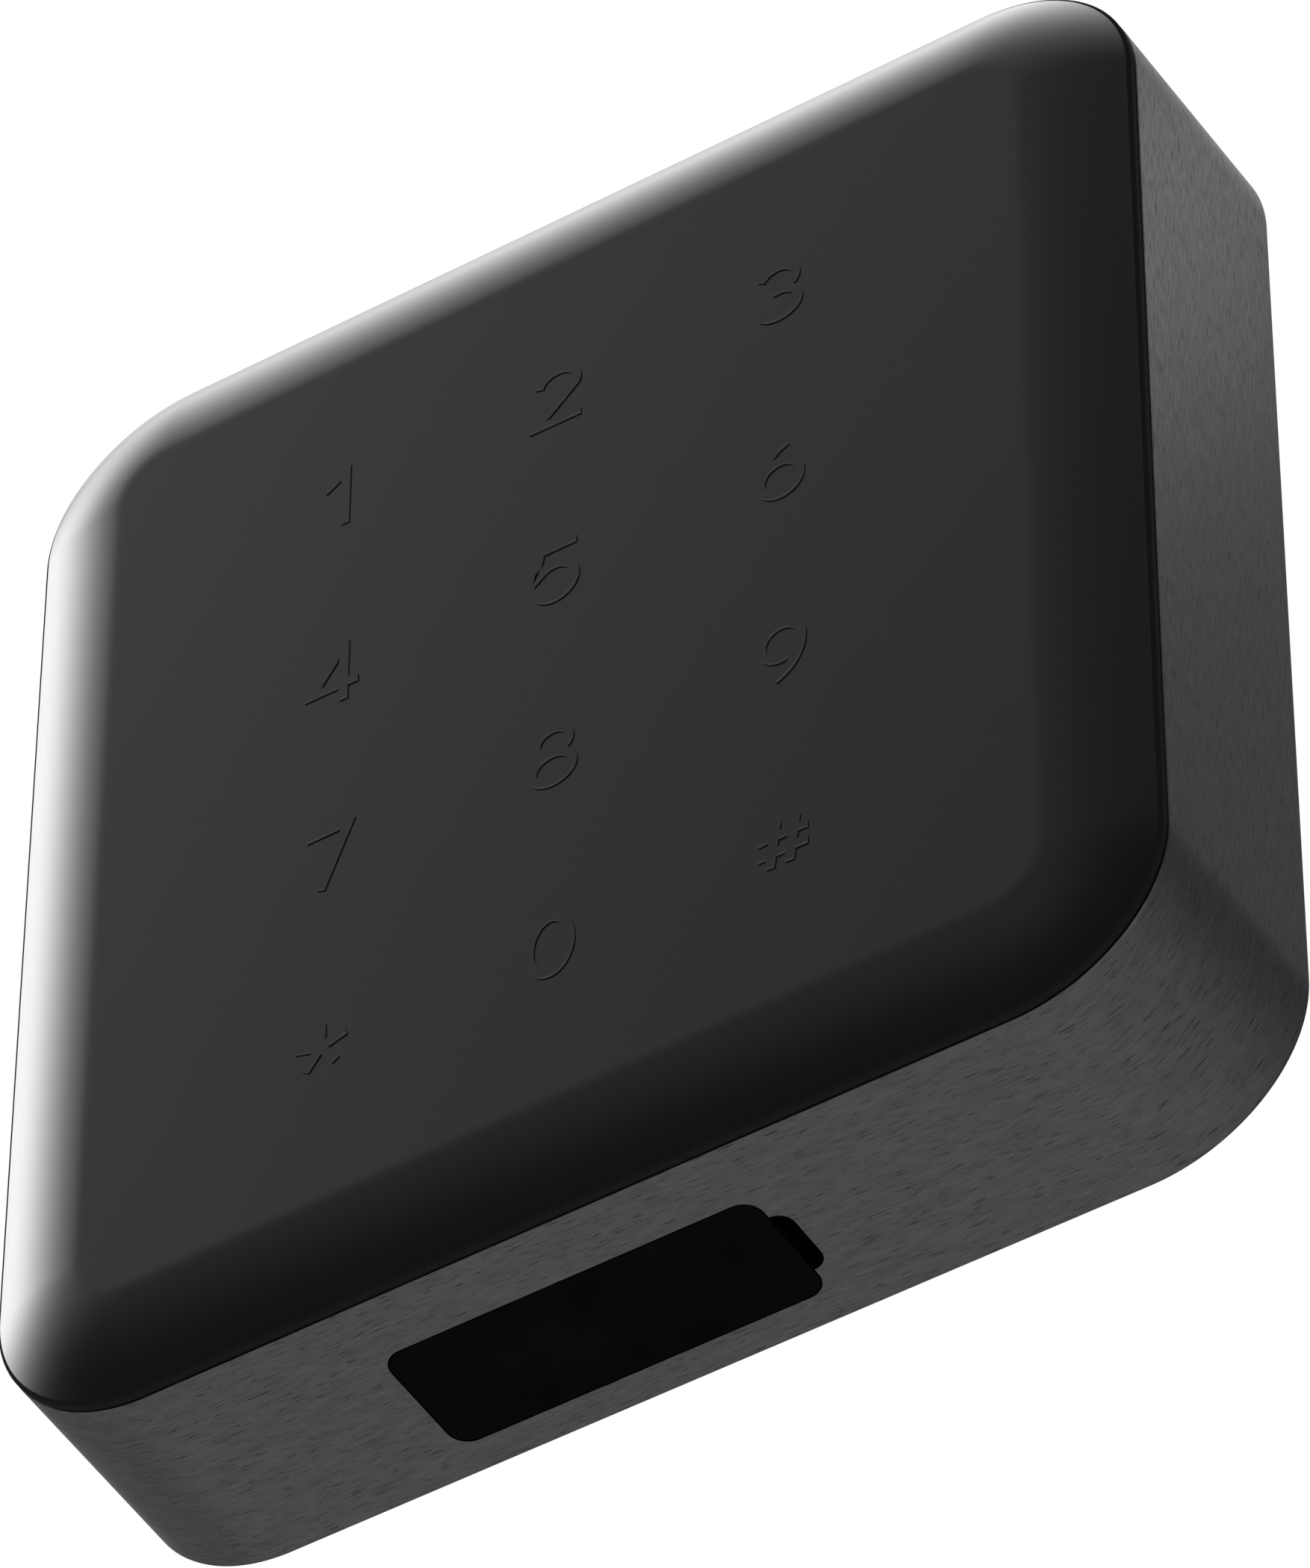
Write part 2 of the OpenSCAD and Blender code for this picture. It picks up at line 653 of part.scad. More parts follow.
module chassis() {
    bay_x0 = hatch_x - hatch_w / 2;
    bay_x1 = hatch_x + hatch_w / 2;
    color("#17181a") difference() {
        union() {
            slab(skirt_w, skirt_hh, skirt_r, plate_front_y, plate_y);
            difference() {
                slab(skirt_w, skirt_hh, skirt_r, plate_y - lap, shoulder_y);
                slab(
                    skirt_w - 2 * chassis_skirt_t, skirt_hh - 2 * chassis_skirt_t,
                    skirt_r - chassis_skirt_t, plate_y - cut, shoulder_y + cut
                );
            }
            // bay walls, closed by the rear cover
            block(
                [bay_x0 - bay_wall, plate_y - lap, -skirt_hh / 2 + lap],
                [bay_x1 + bay_wall, rear_in_y - fit, bay_roof_z]
            );
            case_boss_places() bar(boss_r, plate_y - lap, rear_in_y - fit);
            board_boss_places() bar(board_boss_r, plate_y - lap, board_y - board_t);
            // stiffening ribs on the plate, outside the bay
            for (z = [cover_boss_z - rib_off, cover_boss_z + rib_off])
                block(
                    [-skirt_w / 2 + lap, plate_y - lap, z],
                    [skirt_w / 2 - lap, plate_y + rib_h, z + rib_t]
                );
            for (side = [-1, 1], z = [-cover_boss_z - rib_off, -cover_boss_z + rib_off])
                block(
                    [side > 0 ? bay_x1 + lap : -skirt_w / 2 + lap, plate_y - lap, z],
                    [side > 0 ? skirt_w / 2 - lap : bay_x0 - lap, plate_y + rib_h, z + rib_t]
                );
        }
        bay_space(bay_top_z);
        // the mouth takes the fingernail too
        block(
            [bay_x1 - cut, hatch_y - notch_l / 2, -body_h / 2],
            [bay_x1 + notch_w, hatch_y + notch_l / 2, -skirt_hh / 2 + chassis_skirt_t + nail_room]
        );
        // slots for the solder tails of the fixed contacts
        for (i = [0 : 2])
            block(
                [cell_x(i) - tail_w / 2 - fit, board_y - fit, bay_top_z - cut],
                [cell_x(i) + tail_w / 2 + fit, board_y + contact_t + fit, bay_roof_z + cut]
            );
        block(
            [leaf_x - fit, board_y - fit, bay_top_z - cut],
            [leaf_x + leaf_t + fit, hatch_y + leaf_back + fit, bay_roof_z + cut]
        );
        cover_boss_places() bar(small_screw_r + screw_clear, plate_front_y - cut, plate_y + cut);
        case_boss_places() bar(case_screw_r + screw_clear, plate_y + lap, rear_in_y + cut);
        board_boss_places() bar(small_screw_r + screw_clear, plate_y, board_y + cut);
        // window for the ribbon cable
        block(
            [ribbon_x - ribbon_w / 2 - socket_side, plate_front_y - cut, board_low_z + socket_up],
            [ribbon_x + ribbon_w / 2 + socket_side, plate_y + cut, board_low_z + socket_up + socket_step]
        );
    }
    // runners that keep the drawer off the plate
    color("#17181a") for (i = [0 : 2])
        block([cell_x(i) - rib_t / 2, plate_y - lap, -skirt_hh / 2 + lap], [
            cell_x(i) + rib_t / 2, hatch_y - hatch_d / 2, bay_top_z + lap
        ]);
}

module cover_screws() {
    color("#9a9a9a") cover_boss_places() screw(plate_y, small_screw_r, small_screw_l, small_head_h);
}

// ---- Main board and what it carries ----

module main_board() {
    color("#1f5a36") difference() {
        depth(board_y - board_t, board_y)
            translate([0, (board_low_z + board_top_z) / 2])
                rounded(board_w, board_top_z - board_low_z, board_r);
        board_boss_places() bar(small_screw_r + screw_clear, board_y - board_t - cut, board_y + cut);
    }
}

module board_screws() {
    color("#9a9a9a") board_boss_places() screw(board_y, small_screw_r, small_screw_l, small_head_h);
}

// Flat square package on the front of the main board
module package(x, z, w, h, t) {
    block([x - w / 2, board_y - board_t - t, z - h / 2], [x + w / 2, board_y - board_t, z + h / 2]);
}

module chips() {
    color("#222222") {
        package(chip_x, board_low_z + chip_up, chip_w, chip_w, chip_t);
        package(driver_x, board_low_z + driver_up, driver_w, driver_w, driver_t);
        package(regulator_x, board_low_z + regulator_up, regulator_w, regulator_l, regulator_t);
    }
}

module capacitors() {
    color("#30404a") for (x = [cap_x, cap_x + 2 * cap_r + part_gap])
        bar(cap_r, board_y, board_y + cap_h, x, board_low_z + cap_up);
}

module shield_can() {
    color("#b9bbbd") difference() {
        package(can_x, can_z, can_w, can_l, can_h);
        translate([0, can_t, 0]) package(can_x, can_z, can_w - 2 * can_t, can_l - 2 * can_t, can_h);
    }
}

// Bent strip that stands on two legs in front of the board
module antenna() {
    low = board_y - board_t;
    z = board_top_z - antenna_down;
    color("#c9a24a") {
        block([antenna_x, low - antenna_h, z - antenna_w / 2],
              [antenna_x + antenna_l, low - antenna_h + antenna_t, z + antenna_w / 2]);
        for (x = [antenna_x, antenna_x + feed_step])
            block([x, low - antenna_h, z - antenna_w / 2], [x + antenna_t, low, z + antenna_w / 2]);
    }
}

module sounder() {
    top_y = board_y + sounder_h;
    color("#151515") difference() {
        bar(sounder_r, board_y, top_y, sounder_x, board_low_z + sounder_up);
        bar(sounder_port_r, top_y - cut, top_y + cut, sounder_x, board_low_z + sounder_up);
    }
}

// Sockets: one on the main board's front, one higher up on the touch board's back
module ribbon_sockets() {
    x0 = ribbon_x - ribbon_w / 2 - socket_side;
    x1 = ribbon_x + ribbon_w / 2 + socket_side;
    front_y = touch_y + touch_t;
    rear_y = board_y - board_t;
    rear_z = board_low_z + socket_up;
    front_z = rear_z + socket_step;
    color("#d9d4c4") difference() {
        union() {
            block([x0, front_y, front_z], [x1, front_y + socket_h, front_z + socket_l]);
            block([x0, rear_y - socket_h, rear_z], [x1, rear_y, rear_z + socket_l]);
        }
        ribbon_strip(ribbon_t + slip, ribbon_w + 2 * slip);
    }
}

// Strip of a given thickness and width along the cable's bent path
module ribbon_strip(t, w) {
    y_front = touch_y + touch_t + socket_h / 2;
    y_rear = board_y - board_t - socket_h / 2;
    z_rear = board_low_z + socket_up + socket_l / 2;
    z_front = z_rear + socket_step;
    z_mid = (z_front + z_rear) / 2;
    x0 = ribbon_x - w / 2;
    x1 = ribbon_x + w / 2;
    block([x0, y_front - t / 2, z_mid - t / 2], [x1, y_front + t / 2, z_front + t / 2]);
    block([x0, y_front - t / 2, z_mid - t / 2], [x1, y_rear + t / 2, z_mid + t / 2]);
    block([x0, y_rear - t / 2, z_rear - t / 2], [x1, y_rear + t / 2, z_mid + t / 2]);
}

module ribbon_cable() {
    color("#e8e8e8") ribbon_strip(ribbon_t, ribbon_w);
}

// ---- Rear cover ----

module wall_head_places() {
    for (x = [-1, 1], z = [-1, 1])
        translate([x * screw_pitch / 2, 0, z * screw_pitch / 2]) children();
}

// Slot that leaves room for a wall screw's head while the keypad lifts
module head_slot(r, y0, y1) {
    wall_head_places() depth(y0, y1) slot(r, lift);
}

module rear_cover() {
    w = rebate_w - 2 * fit;
    h = rebate_h - 2 * fit;
    head_y = -bracket_t - wall_head_h;
    color("#17181a") difference() {
        union() {
            slab(w, h, rebate_r - fit, rear_in_y, -rear_inset);
            head_slot(wall_head_r + head_wall, head_y - head_roof, rear_in_y + lap);
        }
        // recess that takes the bracket, with room below it for the lift
        depth(rear_floor_y, cut) translate([0, -lift / 2])
            rounded(bracket_w + 2 * recess_gap, bracket_h + lift + 2 * recess_gap, bracket_r + recess_gap);
        head_slot(wall_head_r, head_y, rear_floor_y + lap);
        // windows that hang on the hooks' legs
        for (z = hook_z, side = [-1, 1])
            block(
                [side * hook_x - hook_w / 2 - hook_gap, rear_in_y - cut, z - lift - bracket_t - hook_gap],
                [side * hook_x + hook_w / 2 + hook_gap, rear_floor_y + lap, z]
            );
        bar(plunger_r + plunger_clear, rear_in_y - cut, cut, 0, plunger_z);
        case_boss_places() {
            bar(case_screw_r + 2 * slip, rear_in_y - cut, cut);
            bar(head_ratio * case_screw_r + head_gap, rear_in_y + seat_t, cut);
        }
    }
}

module case_screws() {
    color("#9a9a9a") case_boss_places()
        screw(rear_in_y + seat_t, case_screw_r, case_screw_l, case_head_h);
}

// ---- Tamper switch ----

module tamper_switch() {
    color("#2b2b2b") difference() {
        translate([-switch_w / 2, board_y, plunger_z - switch_w / 2]) cube([switch_w, switch_h, switch_w]);
        bar(collar_r + plunger_clear, board_y + switch_floor, switch_y + cut, 0, plunger_z);
    }
}

module tamper_spring() {
    low = board_y + switch_floor;
    r = collar_r - spring_side;
    color("#b5b5b5") translate([0, low, plunger_z]) rotate([-90, 0, 0])
        coil(r, r, tamper_wire_r, collar_y - collar_l - low, 4);
}

module tamper_plunger() {
    color("#c8c8c8") {
        bar(collar_r, collar_y - collar_l, collar_y, 0, plunger_z);
        bar(plunger_r, collar_y - lap, 0, 0, plunger_z);
    }
}

// ---- Fixed contacts above the cells ----

module fixed_contacts() {
    nub_z = tray_top_z + nub_h;
    color("#c8b98a") {
        for (i = [0 : 2]) {
            block(
                [cell_x(i) - contact_w / 2, hatch_y - contact_w / 2, bay_top_z - contact_t],
                [cell_x(i) + contact_w / 2, hatch_y + contact_w / 2, bay_top_z]
            );
            block(
                [cell_x(i) - tail_w / 2, board_y, bay_top_z - contact_t],
                [cell_x(i) + tail_w / 2, board_y + contact_t, board_low_z + tail_up]
            );
        }
        // raised buttons that reach the nubs of the upright cells
        for (i = [0, 2])
            translate([cell_x(i), hatch_y, nub_z]) cylinder(h = bay_top_z - nub_z, r = button_r);
        // leaf that wipes the return strip
        block(
            [leaf_x, board_y, bay_top_z - leaf_l],
            [leaf_x + leaf_t, hatch_y + leaf_back, board_low_z + tail_up]
        );
    }
}

module fixed_spring() {
    seat_z = cell_seat_z + contact_t + cell_l;
    color("#b5b5b5") translate([cell_x(1), hatch_y, seat_z])
        coil(spring_tip_r, spring_r, spring_wire_r, bay_top_z - contact_t - seat_z, 4);
}

// ---- Battery drawer ----

module battery_tray() {
    trough_r = cell_r + slip;
    x0 = hatch_x - tray_w / 2;
    x1 = hatch_x + tray_w / 2;
    y0 = hatch_y - tray_d / 2;
    y1 = hatch_y + tray_d / 2;
    color("#101112") difference() {
        translate([hatch_x, hatch_y, tray_z]) linear_extrude(tray_end_z - tray_z)
            rounded(tray_w, tray_d, hatch_r - bay_clear);
        // the front half is open, so that the cells lift out
        block(
            [x0 + tray_wall, y0 - cut, cell_seat_z],
            [x1 - tray_wall, hatch_y, tray_top_z]
        );
        for (i = [0 : 2]) {
            translate([cell_x(i), hatch_y, cell_seat_z])
                cylinder(h = tray_top_z - cell_seat_z, r = trough_r);
            // window behind each cell
            block(
                [cell_x(i) - window_w / 2, hatch_y, cell_seat_z + window_end],
                [cell_x(i) + window_w / 2, y1 + cut, tray_top_z - window_end]
            );
            // way through the top wall for the contacts
            translate([cell_x(i), hatch_y, tray_top_z - cut])
                cylinder(h = tray_top + 2 * cut, r = spring_r + spring_wire_r + bay_clear);
        }
        // pocket behind the hatch plate where a nail takes hold
        block(
            [x1 - tray_wall - cut, hatch_y - notch_l / 2, tray_z],
            [x1 + cut, hatch_y + notch_l / 2, cell_seat_z + nail_room]
        );
        // channel of the return strip
        block(
            [x0 - cut, hatch_y - strip_w / 2 - slip, tray_z - cut],
            [x0 + contact_t, hatch_y + strip_w / 2 + slip, tray_end_z + cut]
        );
        block(
            [x0 - cut, hatch_y - strip_w / 2 - slip, cell_seat_z],
            [x0 + tray_wall + cut, hatch_y + strip_w / 2 + slip, cell_seat_z + contact_t]
        );
    }
}

module hatch_plate() {
    color("#0a0a0a") intersection() {
        drafted_form();
        translate([0, 0, -body_h / 2 - cut]) linear_extrude(tray_z + body_h / 2 + cut)
            hatch_outline(slip);
    }
}

// One cell standing on z = 0, nub up
module cell() {
    can_l = cell_l - nub_h;
    rotate_extrude()
        polygon([
            [0, 0], [cell_r - crimp, 0], [cell_r, crimp], [cell_r, can_l - crimp], [cell_r - crimp, can_l],
            [nub_r, can_l], [nub_r, cell_l - crimp / 3], [nub_r - crimp / 3, cell_l], [0, cell_l]
        ]);
}

module cells() {
    color("#6a6d70") {
        for (i = [0, 2])
            translate([cell_x(i), hatch_y, cell_seat_z + spring_l]) cell();
        translate([cell_x(1), hatch_y, cell_seat_z + contact_t + cell_l]) rotate([180, 0, 0]) cell();
    }
}

module tray_contacts() {
    color("#c8b98a") {
        for (i = [0 : 2])
            block(
                [cell_x(i) - contact_w / 2, hatch_y - contact_w / 2, cell_seat_z],
                [cell_x(i) + contact_w / 2, hatch_y + contact_back, cell_seat_z + contact_t]
            );
        // link between the second and the third cell
        block(
            [cell_x(1), hatch_y - contact_w / 2, cell_seat_z],
            [cell_x(2), hatch_y - lap, cell_seat_z + contact_t]
        );
    }
}

module tray_springs() {
    color("#b5b5b5") for (i = [0, 2])
        translate([cell_x(i), hatch_y, cell_seat_z + contact_t])
            coil(spring_r, spring_tip_r, spring_wire_r, spring_l - contact_t, 4);
}

// Strip up the drawer's side that brings the last pole to the top of the bay
module return_strip() {
    x0 = hatch_x - tray_w / 2;
    color("#c8b98a") {
        block(
            [x0, hatch_y - strip_w / 2, cell_seat_z],
            [x0 + contact_t, hatch_y + strip_w / 2, tray_end_z]
        );
        block(
            [x0, hatch_y - strip_w / 2, cell_seat_z],
            [cell_x(0) - contact_w / 2, hatch_y + strip_w / 2, cell_seat_z + contact_t]
        );
    }
}

wall_bracket();
housing();
front_cover();
cover_seal();
adhesive_sheet();
touch_board();
chassis();
cover_screws();
main_board();
board_screws();
chips();
capacitors();
shield_can();
antenna();
sounder();
ribbon_sockets();
ribbon_cable();
rear_cover();
case_screws();
tamper_switch();
tamper_spring();
tamper_plunger();
fixed_contacts();
fixed_spring();
battery_tray();
hatch_plate();
cells();
tray_contacts();
tray_springs();
return_strip();
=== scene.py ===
import math
import bmesh
import bpy
from mathutils import Matrix, Vector


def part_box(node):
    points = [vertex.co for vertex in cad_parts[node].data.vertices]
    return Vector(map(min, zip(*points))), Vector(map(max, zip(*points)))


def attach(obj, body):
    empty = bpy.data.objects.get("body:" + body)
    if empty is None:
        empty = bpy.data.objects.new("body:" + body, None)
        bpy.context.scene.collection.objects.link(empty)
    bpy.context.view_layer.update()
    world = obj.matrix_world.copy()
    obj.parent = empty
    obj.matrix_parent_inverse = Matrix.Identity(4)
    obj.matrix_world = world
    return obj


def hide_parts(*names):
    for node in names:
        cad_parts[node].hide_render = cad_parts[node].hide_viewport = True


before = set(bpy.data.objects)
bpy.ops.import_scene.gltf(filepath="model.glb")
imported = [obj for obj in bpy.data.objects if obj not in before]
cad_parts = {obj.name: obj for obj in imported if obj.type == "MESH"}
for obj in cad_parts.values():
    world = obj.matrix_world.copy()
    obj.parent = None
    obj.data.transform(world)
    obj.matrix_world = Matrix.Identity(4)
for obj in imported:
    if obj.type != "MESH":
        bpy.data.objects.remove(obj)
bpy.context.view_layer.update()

# ---- Wall bracket ----
# A plate of 1.5 mm steel, blanked and bent in one stroke, with four hooks for the keypad.
# Zinc plated and passivated: a cool grey that breaks up into faint patches, with fine rolling marks.
MM = 0.001


def linear(hex_colour):
    """sRGB hex to the linear colour that the shaders take."""
    channels = [int(hex_colour[i : i + 2], 16) / 255 for i in (1, 3, 5)]
    return [c / 12.92 if c <= 0.04045 else ((c + 0.055) / 1.055) ** 2.4 for c in channels] + [1]


def add(tree, kind, inputs=(), stops=(), **properties):
    """One shader node: its inputs (a value, or a socket to link), a ramp's stops, and its properties."""
    node = tree.nodes.new(kind)
    for name, value in properties.items():
        setattr(node, name, value)
    for _ in stops[2:]:
        node.color_ramp.elements.new(0.5)
    for k, (position, colour) in enumerate(stops):
        stop = node.color_ramp.elements[k]
        stop.position = position
        stop.color = linear(colour) if isinstance(colour, str) else (colour, colour, colour, 1)
    for name, value in dict(inputs).items():
        if isinstance(value, bpy.types.NodeSocket):
            tree.links.new(value, node.inputs[name])
        else:
            node.inputs[name].default_value = value
    return node


def start_finish(name):
    """An empty material: its tree, and the object's own coordinates in metres."""
    made = bpy.data.materials.new(name)
    made.use_nodes = True
    made.node_tree.nodes.clear()
    place = add(made.node_tree, "ShaderNodeTexCoord").outputs["Object"]
    return made, made.node_tree, place


def per_mm(size):
    """Texture scale at which one feature is about that many millimetres across."""
    return 1 / (size * MM)


def wear(node_name, finish):
    """Gives a CAD solid its finish."""
    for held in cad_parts[node_name].material_slots:
        held.material = finish


zinc_plate, tree, place = start_finish("zinc_plated_steel")
patches = add(tree, "ShaderNodeTexVoronoi", {"Vector": place, "Scale": per_mm(6), "Randomness": 1})
cloud = add(tree, "ShaderNodeTexNoise", {"Vector": place, "Scale": per_mm(14), "Detail": 4})
rolled = add(tree, "ShaderNodeVectorMath", {0: place, 1: (per_mm(4), per_mm(0.5), per_mm(0.12))},
             operation="MULTIPLY")
marks = add(tree, "ShaderNodeTexNoise", {"Vector": rolled.outputs[0], "Scale": 1, "Detail": 2})
stained = add(tree, "ShaderNodeMix", {0: 0.7, 2: patches.outputs["Distance"], 3: cloud.outputs["Fac"]})
mixed = add(tree, "ShaderNodeMix", {0: 0.55, 2: stained.outputs[0], 3: marks.outputs["Fac"]})
bump = add(tree, "ShaderNodeBump", {"Height": marks.outputs["Fac"], "Strength": 0.25, "Distance": 0.02 * MM})
tone = add(
    tree, "ShaderNodeValToRGB", {"Fac": mixed.outputs[0]},
    stops=((0.3, "#A9ADB0"), (0.7, "#C0C3C5")))
polish = add(tree, "ShaderNodeValToRGB", {"Fac": cloud.outputs["Fac"]}, stops=((0.3, 0.34), (0.7, 0.48)))
shader = add(tree, "ShaderNodeBsdfPrincipled", {
    "Base Color": tone.outputs["Color"],
    "Metallic": 1.0,
    "Roughness": polish.outputs["Color"],
    "Normal": bump.outputs["Normal"],
})
add(tree, "ShaderNodeOutputMaterial", {"Surface": shader.outputs["BSDF"]})
wear("wall_bracket", zinc_plate)

# ---- Housing ----
# The band round the sides is one die-cast aluminium frame that widens a little towards the wall.
# It is brushed along its length and anodised dark grey: short scratches run round it, corner to corner.
# They are drawn coarser than real brush marks, which are too fine to show.
housing_low, housing_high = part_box("housing")
HALF_W = housing_high.x
HALF_H = housing_high.z
SEAM_Y = housing_low.y
CORNER = 14.9 * MM
DRAFT = 0.4 * MM
WALL = 2.2 * MM
SHOULDER = 1.2 * MM
EDGE = 0.12 * MM
LEAST_R = 0.3 * MM
CORNER_STEPS = 40
SIDE_STEPS = 24
MOUTH_STEPS = 8


def round_loop(half_w, half_h, radius, y):
    """Points round a rounded rectangle, anticlockwise from its lower right as seen from the front."""
    corners = [
        Vector((sx * (half_w - radius), y, sz * (half_h - radius)))
        for sx, sz in ((1, -1), (1, 1), (-1, 1), (-1, -1))
    ]
    points = []
    for quarter, centre in enumerate(corners):
        for i in range(CORNER_STEPS + 1):
            a = math.radians(90 * (quarter - 1 + i / CORNER_STEPS))
            out = radius * Vector((math.cos(a), 0, math.sin(a)))
            points.append(centre + out)
        side_end = corners[(quarter + 1) % 4] + out
        points += [points[-1].lerp(side_end, i / SIDE_STEPS) for i in range(1, SIDE_STEPS)]
    return points


def inset_loop(inset, y):
    """A loop that far inside the housing's outline at the wall."""
    return round_loop(HALF_W - inset, HALF_H - inset, max(CORNER - inset, LEAST_R), y)


def skin_loops(mesh, loops, closed):
    """Joins loops of equal length with quads. The UV map holds the length round them and across them."""
    layer = mesh.loops.layers.uv.verify()
    rows = [[mesh.verts.new(p) for p in loop] for loop in loops]
    count = len(loops[0])
    widest = max(loops, key=lambda loop: sum((loop[i] - loop[i - 1]).length for i in range(count)))
    along = [0.0]
    for i in range(1, count + 1):
        along.append(along[-1] + (widest[i % count] - widest[i - 1]).length)
    across = [0.0]
    for a, b in zip(loops, loops[1:] + loops[:1]):
        across.append(across[-1] + (b[0] - a[0]).length)
    last = len(loops) if closed else len(loops) - 1
    for j in range(last):
        a, b = rows[j], rows[(j + 1) % len(rows)]
        for i in range(count):
            k = (i + 1) % count
            face = mesh.faces.new((a[i], a[k], b[k], b[i]))
            for corner, (u, v) in zip(face.loops, ((i, j), (i + 1, j), (i + 1, j + 1), (i, j + 1))):
                corner[layer].uv = (along[u], across[v])
    return rows


def finish_mesh(name, mesh, body, slot, *finishes, sharp=30):
    """Makes the piece: normals out, smooth except at real edges, and riding on its body."""
    bmesh.ops.recalc_face_normals(mesh, faces=mesh.faces)
    data = bpy.data.meshes.new(name)
    mesh.to_mesh(data)
    mesh.free()
    data.shade_smooth()
    data.set_sharp_from_angle(angle=math.radians(sharp))
    for finish in finishes:
        data.materials.append(finish)
    piece = bpy.data.objects.new(name, data)
    bpy.context.scene.collection.objects.link(piece)
    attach(piece, body)
    return piece


def combine(piece, solid, operation):
    """Cuts the other solid out of the piece or joins it to the piece, and applies that."""
    step = piece.modifiers.new("combine", "BOOLEAN")
    step.object = solid
    step.operation = operation
    step.solver = "EXACT"
    bpy.context.view_layer.update()
    done = bpy.data.meshes.new_from_object(piece.evaluated_get(bpy.context.evaluated_depsgraph_get()))
    piece.modifiers.clear()
    piece.data = done
    bpy.data.objects.remove(solid)


def prism(mesh, outline, low_z, high_z):
    """Upright prism over an outline in X and Y."""
    low = [mesh.verts.new((x, y, low_z)) for x, y in outline]
    high = [mesh.verts.new((x, y, high_z)) for x, y in outline]
    mesh.faces.new(low)
    mesh.faces.new(high)
    for i in range(len(outline)):
        k = (i + 1) % len(outline)
        mesh.faces.new((low[i], low[k], high[k], high[i]))


def round_outline(x0, x1, y0, y1, radius):
    """Rounded rectangle in X and Y."""
    outline = []
    left, right, near, far = x0 + radius, x1 - radius, y0 + radius, y1 - radius
    centres = ((right, near), (right, far), (left, far), (left, near))
    for quarter, (x, y) in enumerate(centres):
        for i in range(MOUTH_STEPS + 1):
            a = math.radians(90 * (quarter - 1 + i / MOUTH_STEPS))
            outline.append((x + radius * math.cos(a), y + radius * math.sin(a)))
    return outline


def passing_solid(mesh):
    """Puts a solid into the scene until it is combined with a piece."""
    bmesh.ops.recalc_face_normals(mesh, faces=mesh.faces)
    data = bpy.data.meshes.new("passing")
    mesh.to_mesh(data)
    mesh.free()
    solid = bpy.data.objects.new("passing", data)
    bpy.context.scene.collection.objects.link(solid)
    return solid


REAR_IN_Y = -3.0 * MM
SHOULDER_T = 1.6 * MM
SHOULDER_Y = REAR_IN_Y - SHOULDER_T
inner = DRAFT + WALL
# the middle of a broken edge lies this far inside both its faces
MID_EDGE = EDGE * 0.3
# narrow strips beside the broken edges keep the broad sides flat
HOLD = 0.2 * MM
lean = DRAFT * HOLD / (-SEAM_Y - 2 * EDGE)
housing_mesh = bmesh.new()
skin_loops(housing_mesh, [
    inset_loop(inset, y) for inset, y in (
        (EDGE, 0), (MID_EDGE, -MID_EDGE), (0, -EDGE), (lean, -EDGE - HOLD),
        (DRAFT - lean, SEAM_Y + EDGE + HOLD), (DRAFT, SEAM_Y + EDGE),
        (DRAFT + MID_EDGE, SEAM_Y + MID_EDGE), (DRAFT + EDGE, SEAM_Y),
        (inner, SEAM_Y), (inner, SHOULDER_Y), (inner + SHOULDER, SHOULDER_Y),
        (inner + SHOULDER, REAR_IN_Y), (WALL, REAR_IN_Y), (WALL, 0),
    )
], closed=True)

# The battery drawer's mouth and its nail notch go through the bottom wall. The bay cuts into the shoulder.
hatch_low, hatch_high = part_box("hatch_plate")
CLEAR = 0.15 * MM
BAY_WALL = 1.4 * MM
BAY_FIT = 0.3 * MM
NOTCH_LENGTH = 6.8 * MM
NOTCH_WIDTH = 1.5 * MM
NOTCH_R = 1.45 * MM
HATCH_R = 1.9 * MM
# how far the cutters run past what they cut: in the open, inside the wall, and behind the shoulder
PAST_OPEN = 1 * MM
PAST_WALL = 0.4 * MM
PAST_BACK = 0.5 * MM
# the bay's cutter starts this far inside the wall, so that no sliver of the shoulder is left
SLIVER = 0.03 * MM
mouth_x0 = hatch_low.x - CLEAR
mouth_x1 = hatch_high.x + CLEAR
mouth_y0 = hatch_low.y - CLEAR
mouth_y1 = hatch_high.y + CLEAR
mouth_y = (mouth_y0 + mouth_y1) / 2
notch_x0 = mouth_x1 - 2 * NOTCH_R
notch_x1 = mouth_x1 + NOTCH_WIDTH
notch_y0 = mouth_y - NOTCH_LENGTH / 2
notch_y1 = mouth_y + NOTCH_LENGTH / 2
margin = BAY_WALL + BAY_FIT
bay_x0 = mouth_x0 - margin
bay_x1 = mouth_x1 + margin
bay_y0 = SHOULDER_Y - PAST_OPEN
bay_y1 = REAR_IN_Y + PAST_BACK
below = -HALF_H - PAST_OPEN
floor_in_z = -HALF_H + inner
above = floor_in_z + PAST_WALL
mouth_cutters = []
for outline, low_z, high_z in (
    (round_outline(mouth_x0, mouth_x1, mouth_y0, mouth_y1, HATCH_R), below, above),
    (round_outline(notch_x0, notch_x1, notch_y0, notch_y1, NOTCH_R), below, above),
    (((bay_x0, bay_y0), (bay_x1, bay_y0), (bay_x1, bay_y1), (bay_x0, bay_y1)),
     floor_in_z - SLIVER, floor_in_z + SHOULDER + PAST_OPEN),
):
    cutter_mesh = bmesh.new()
    prism(cutter_mesh, outline, low_z, high_z)
    mouth_cutters.append(passing_solid(cutter_mesh))

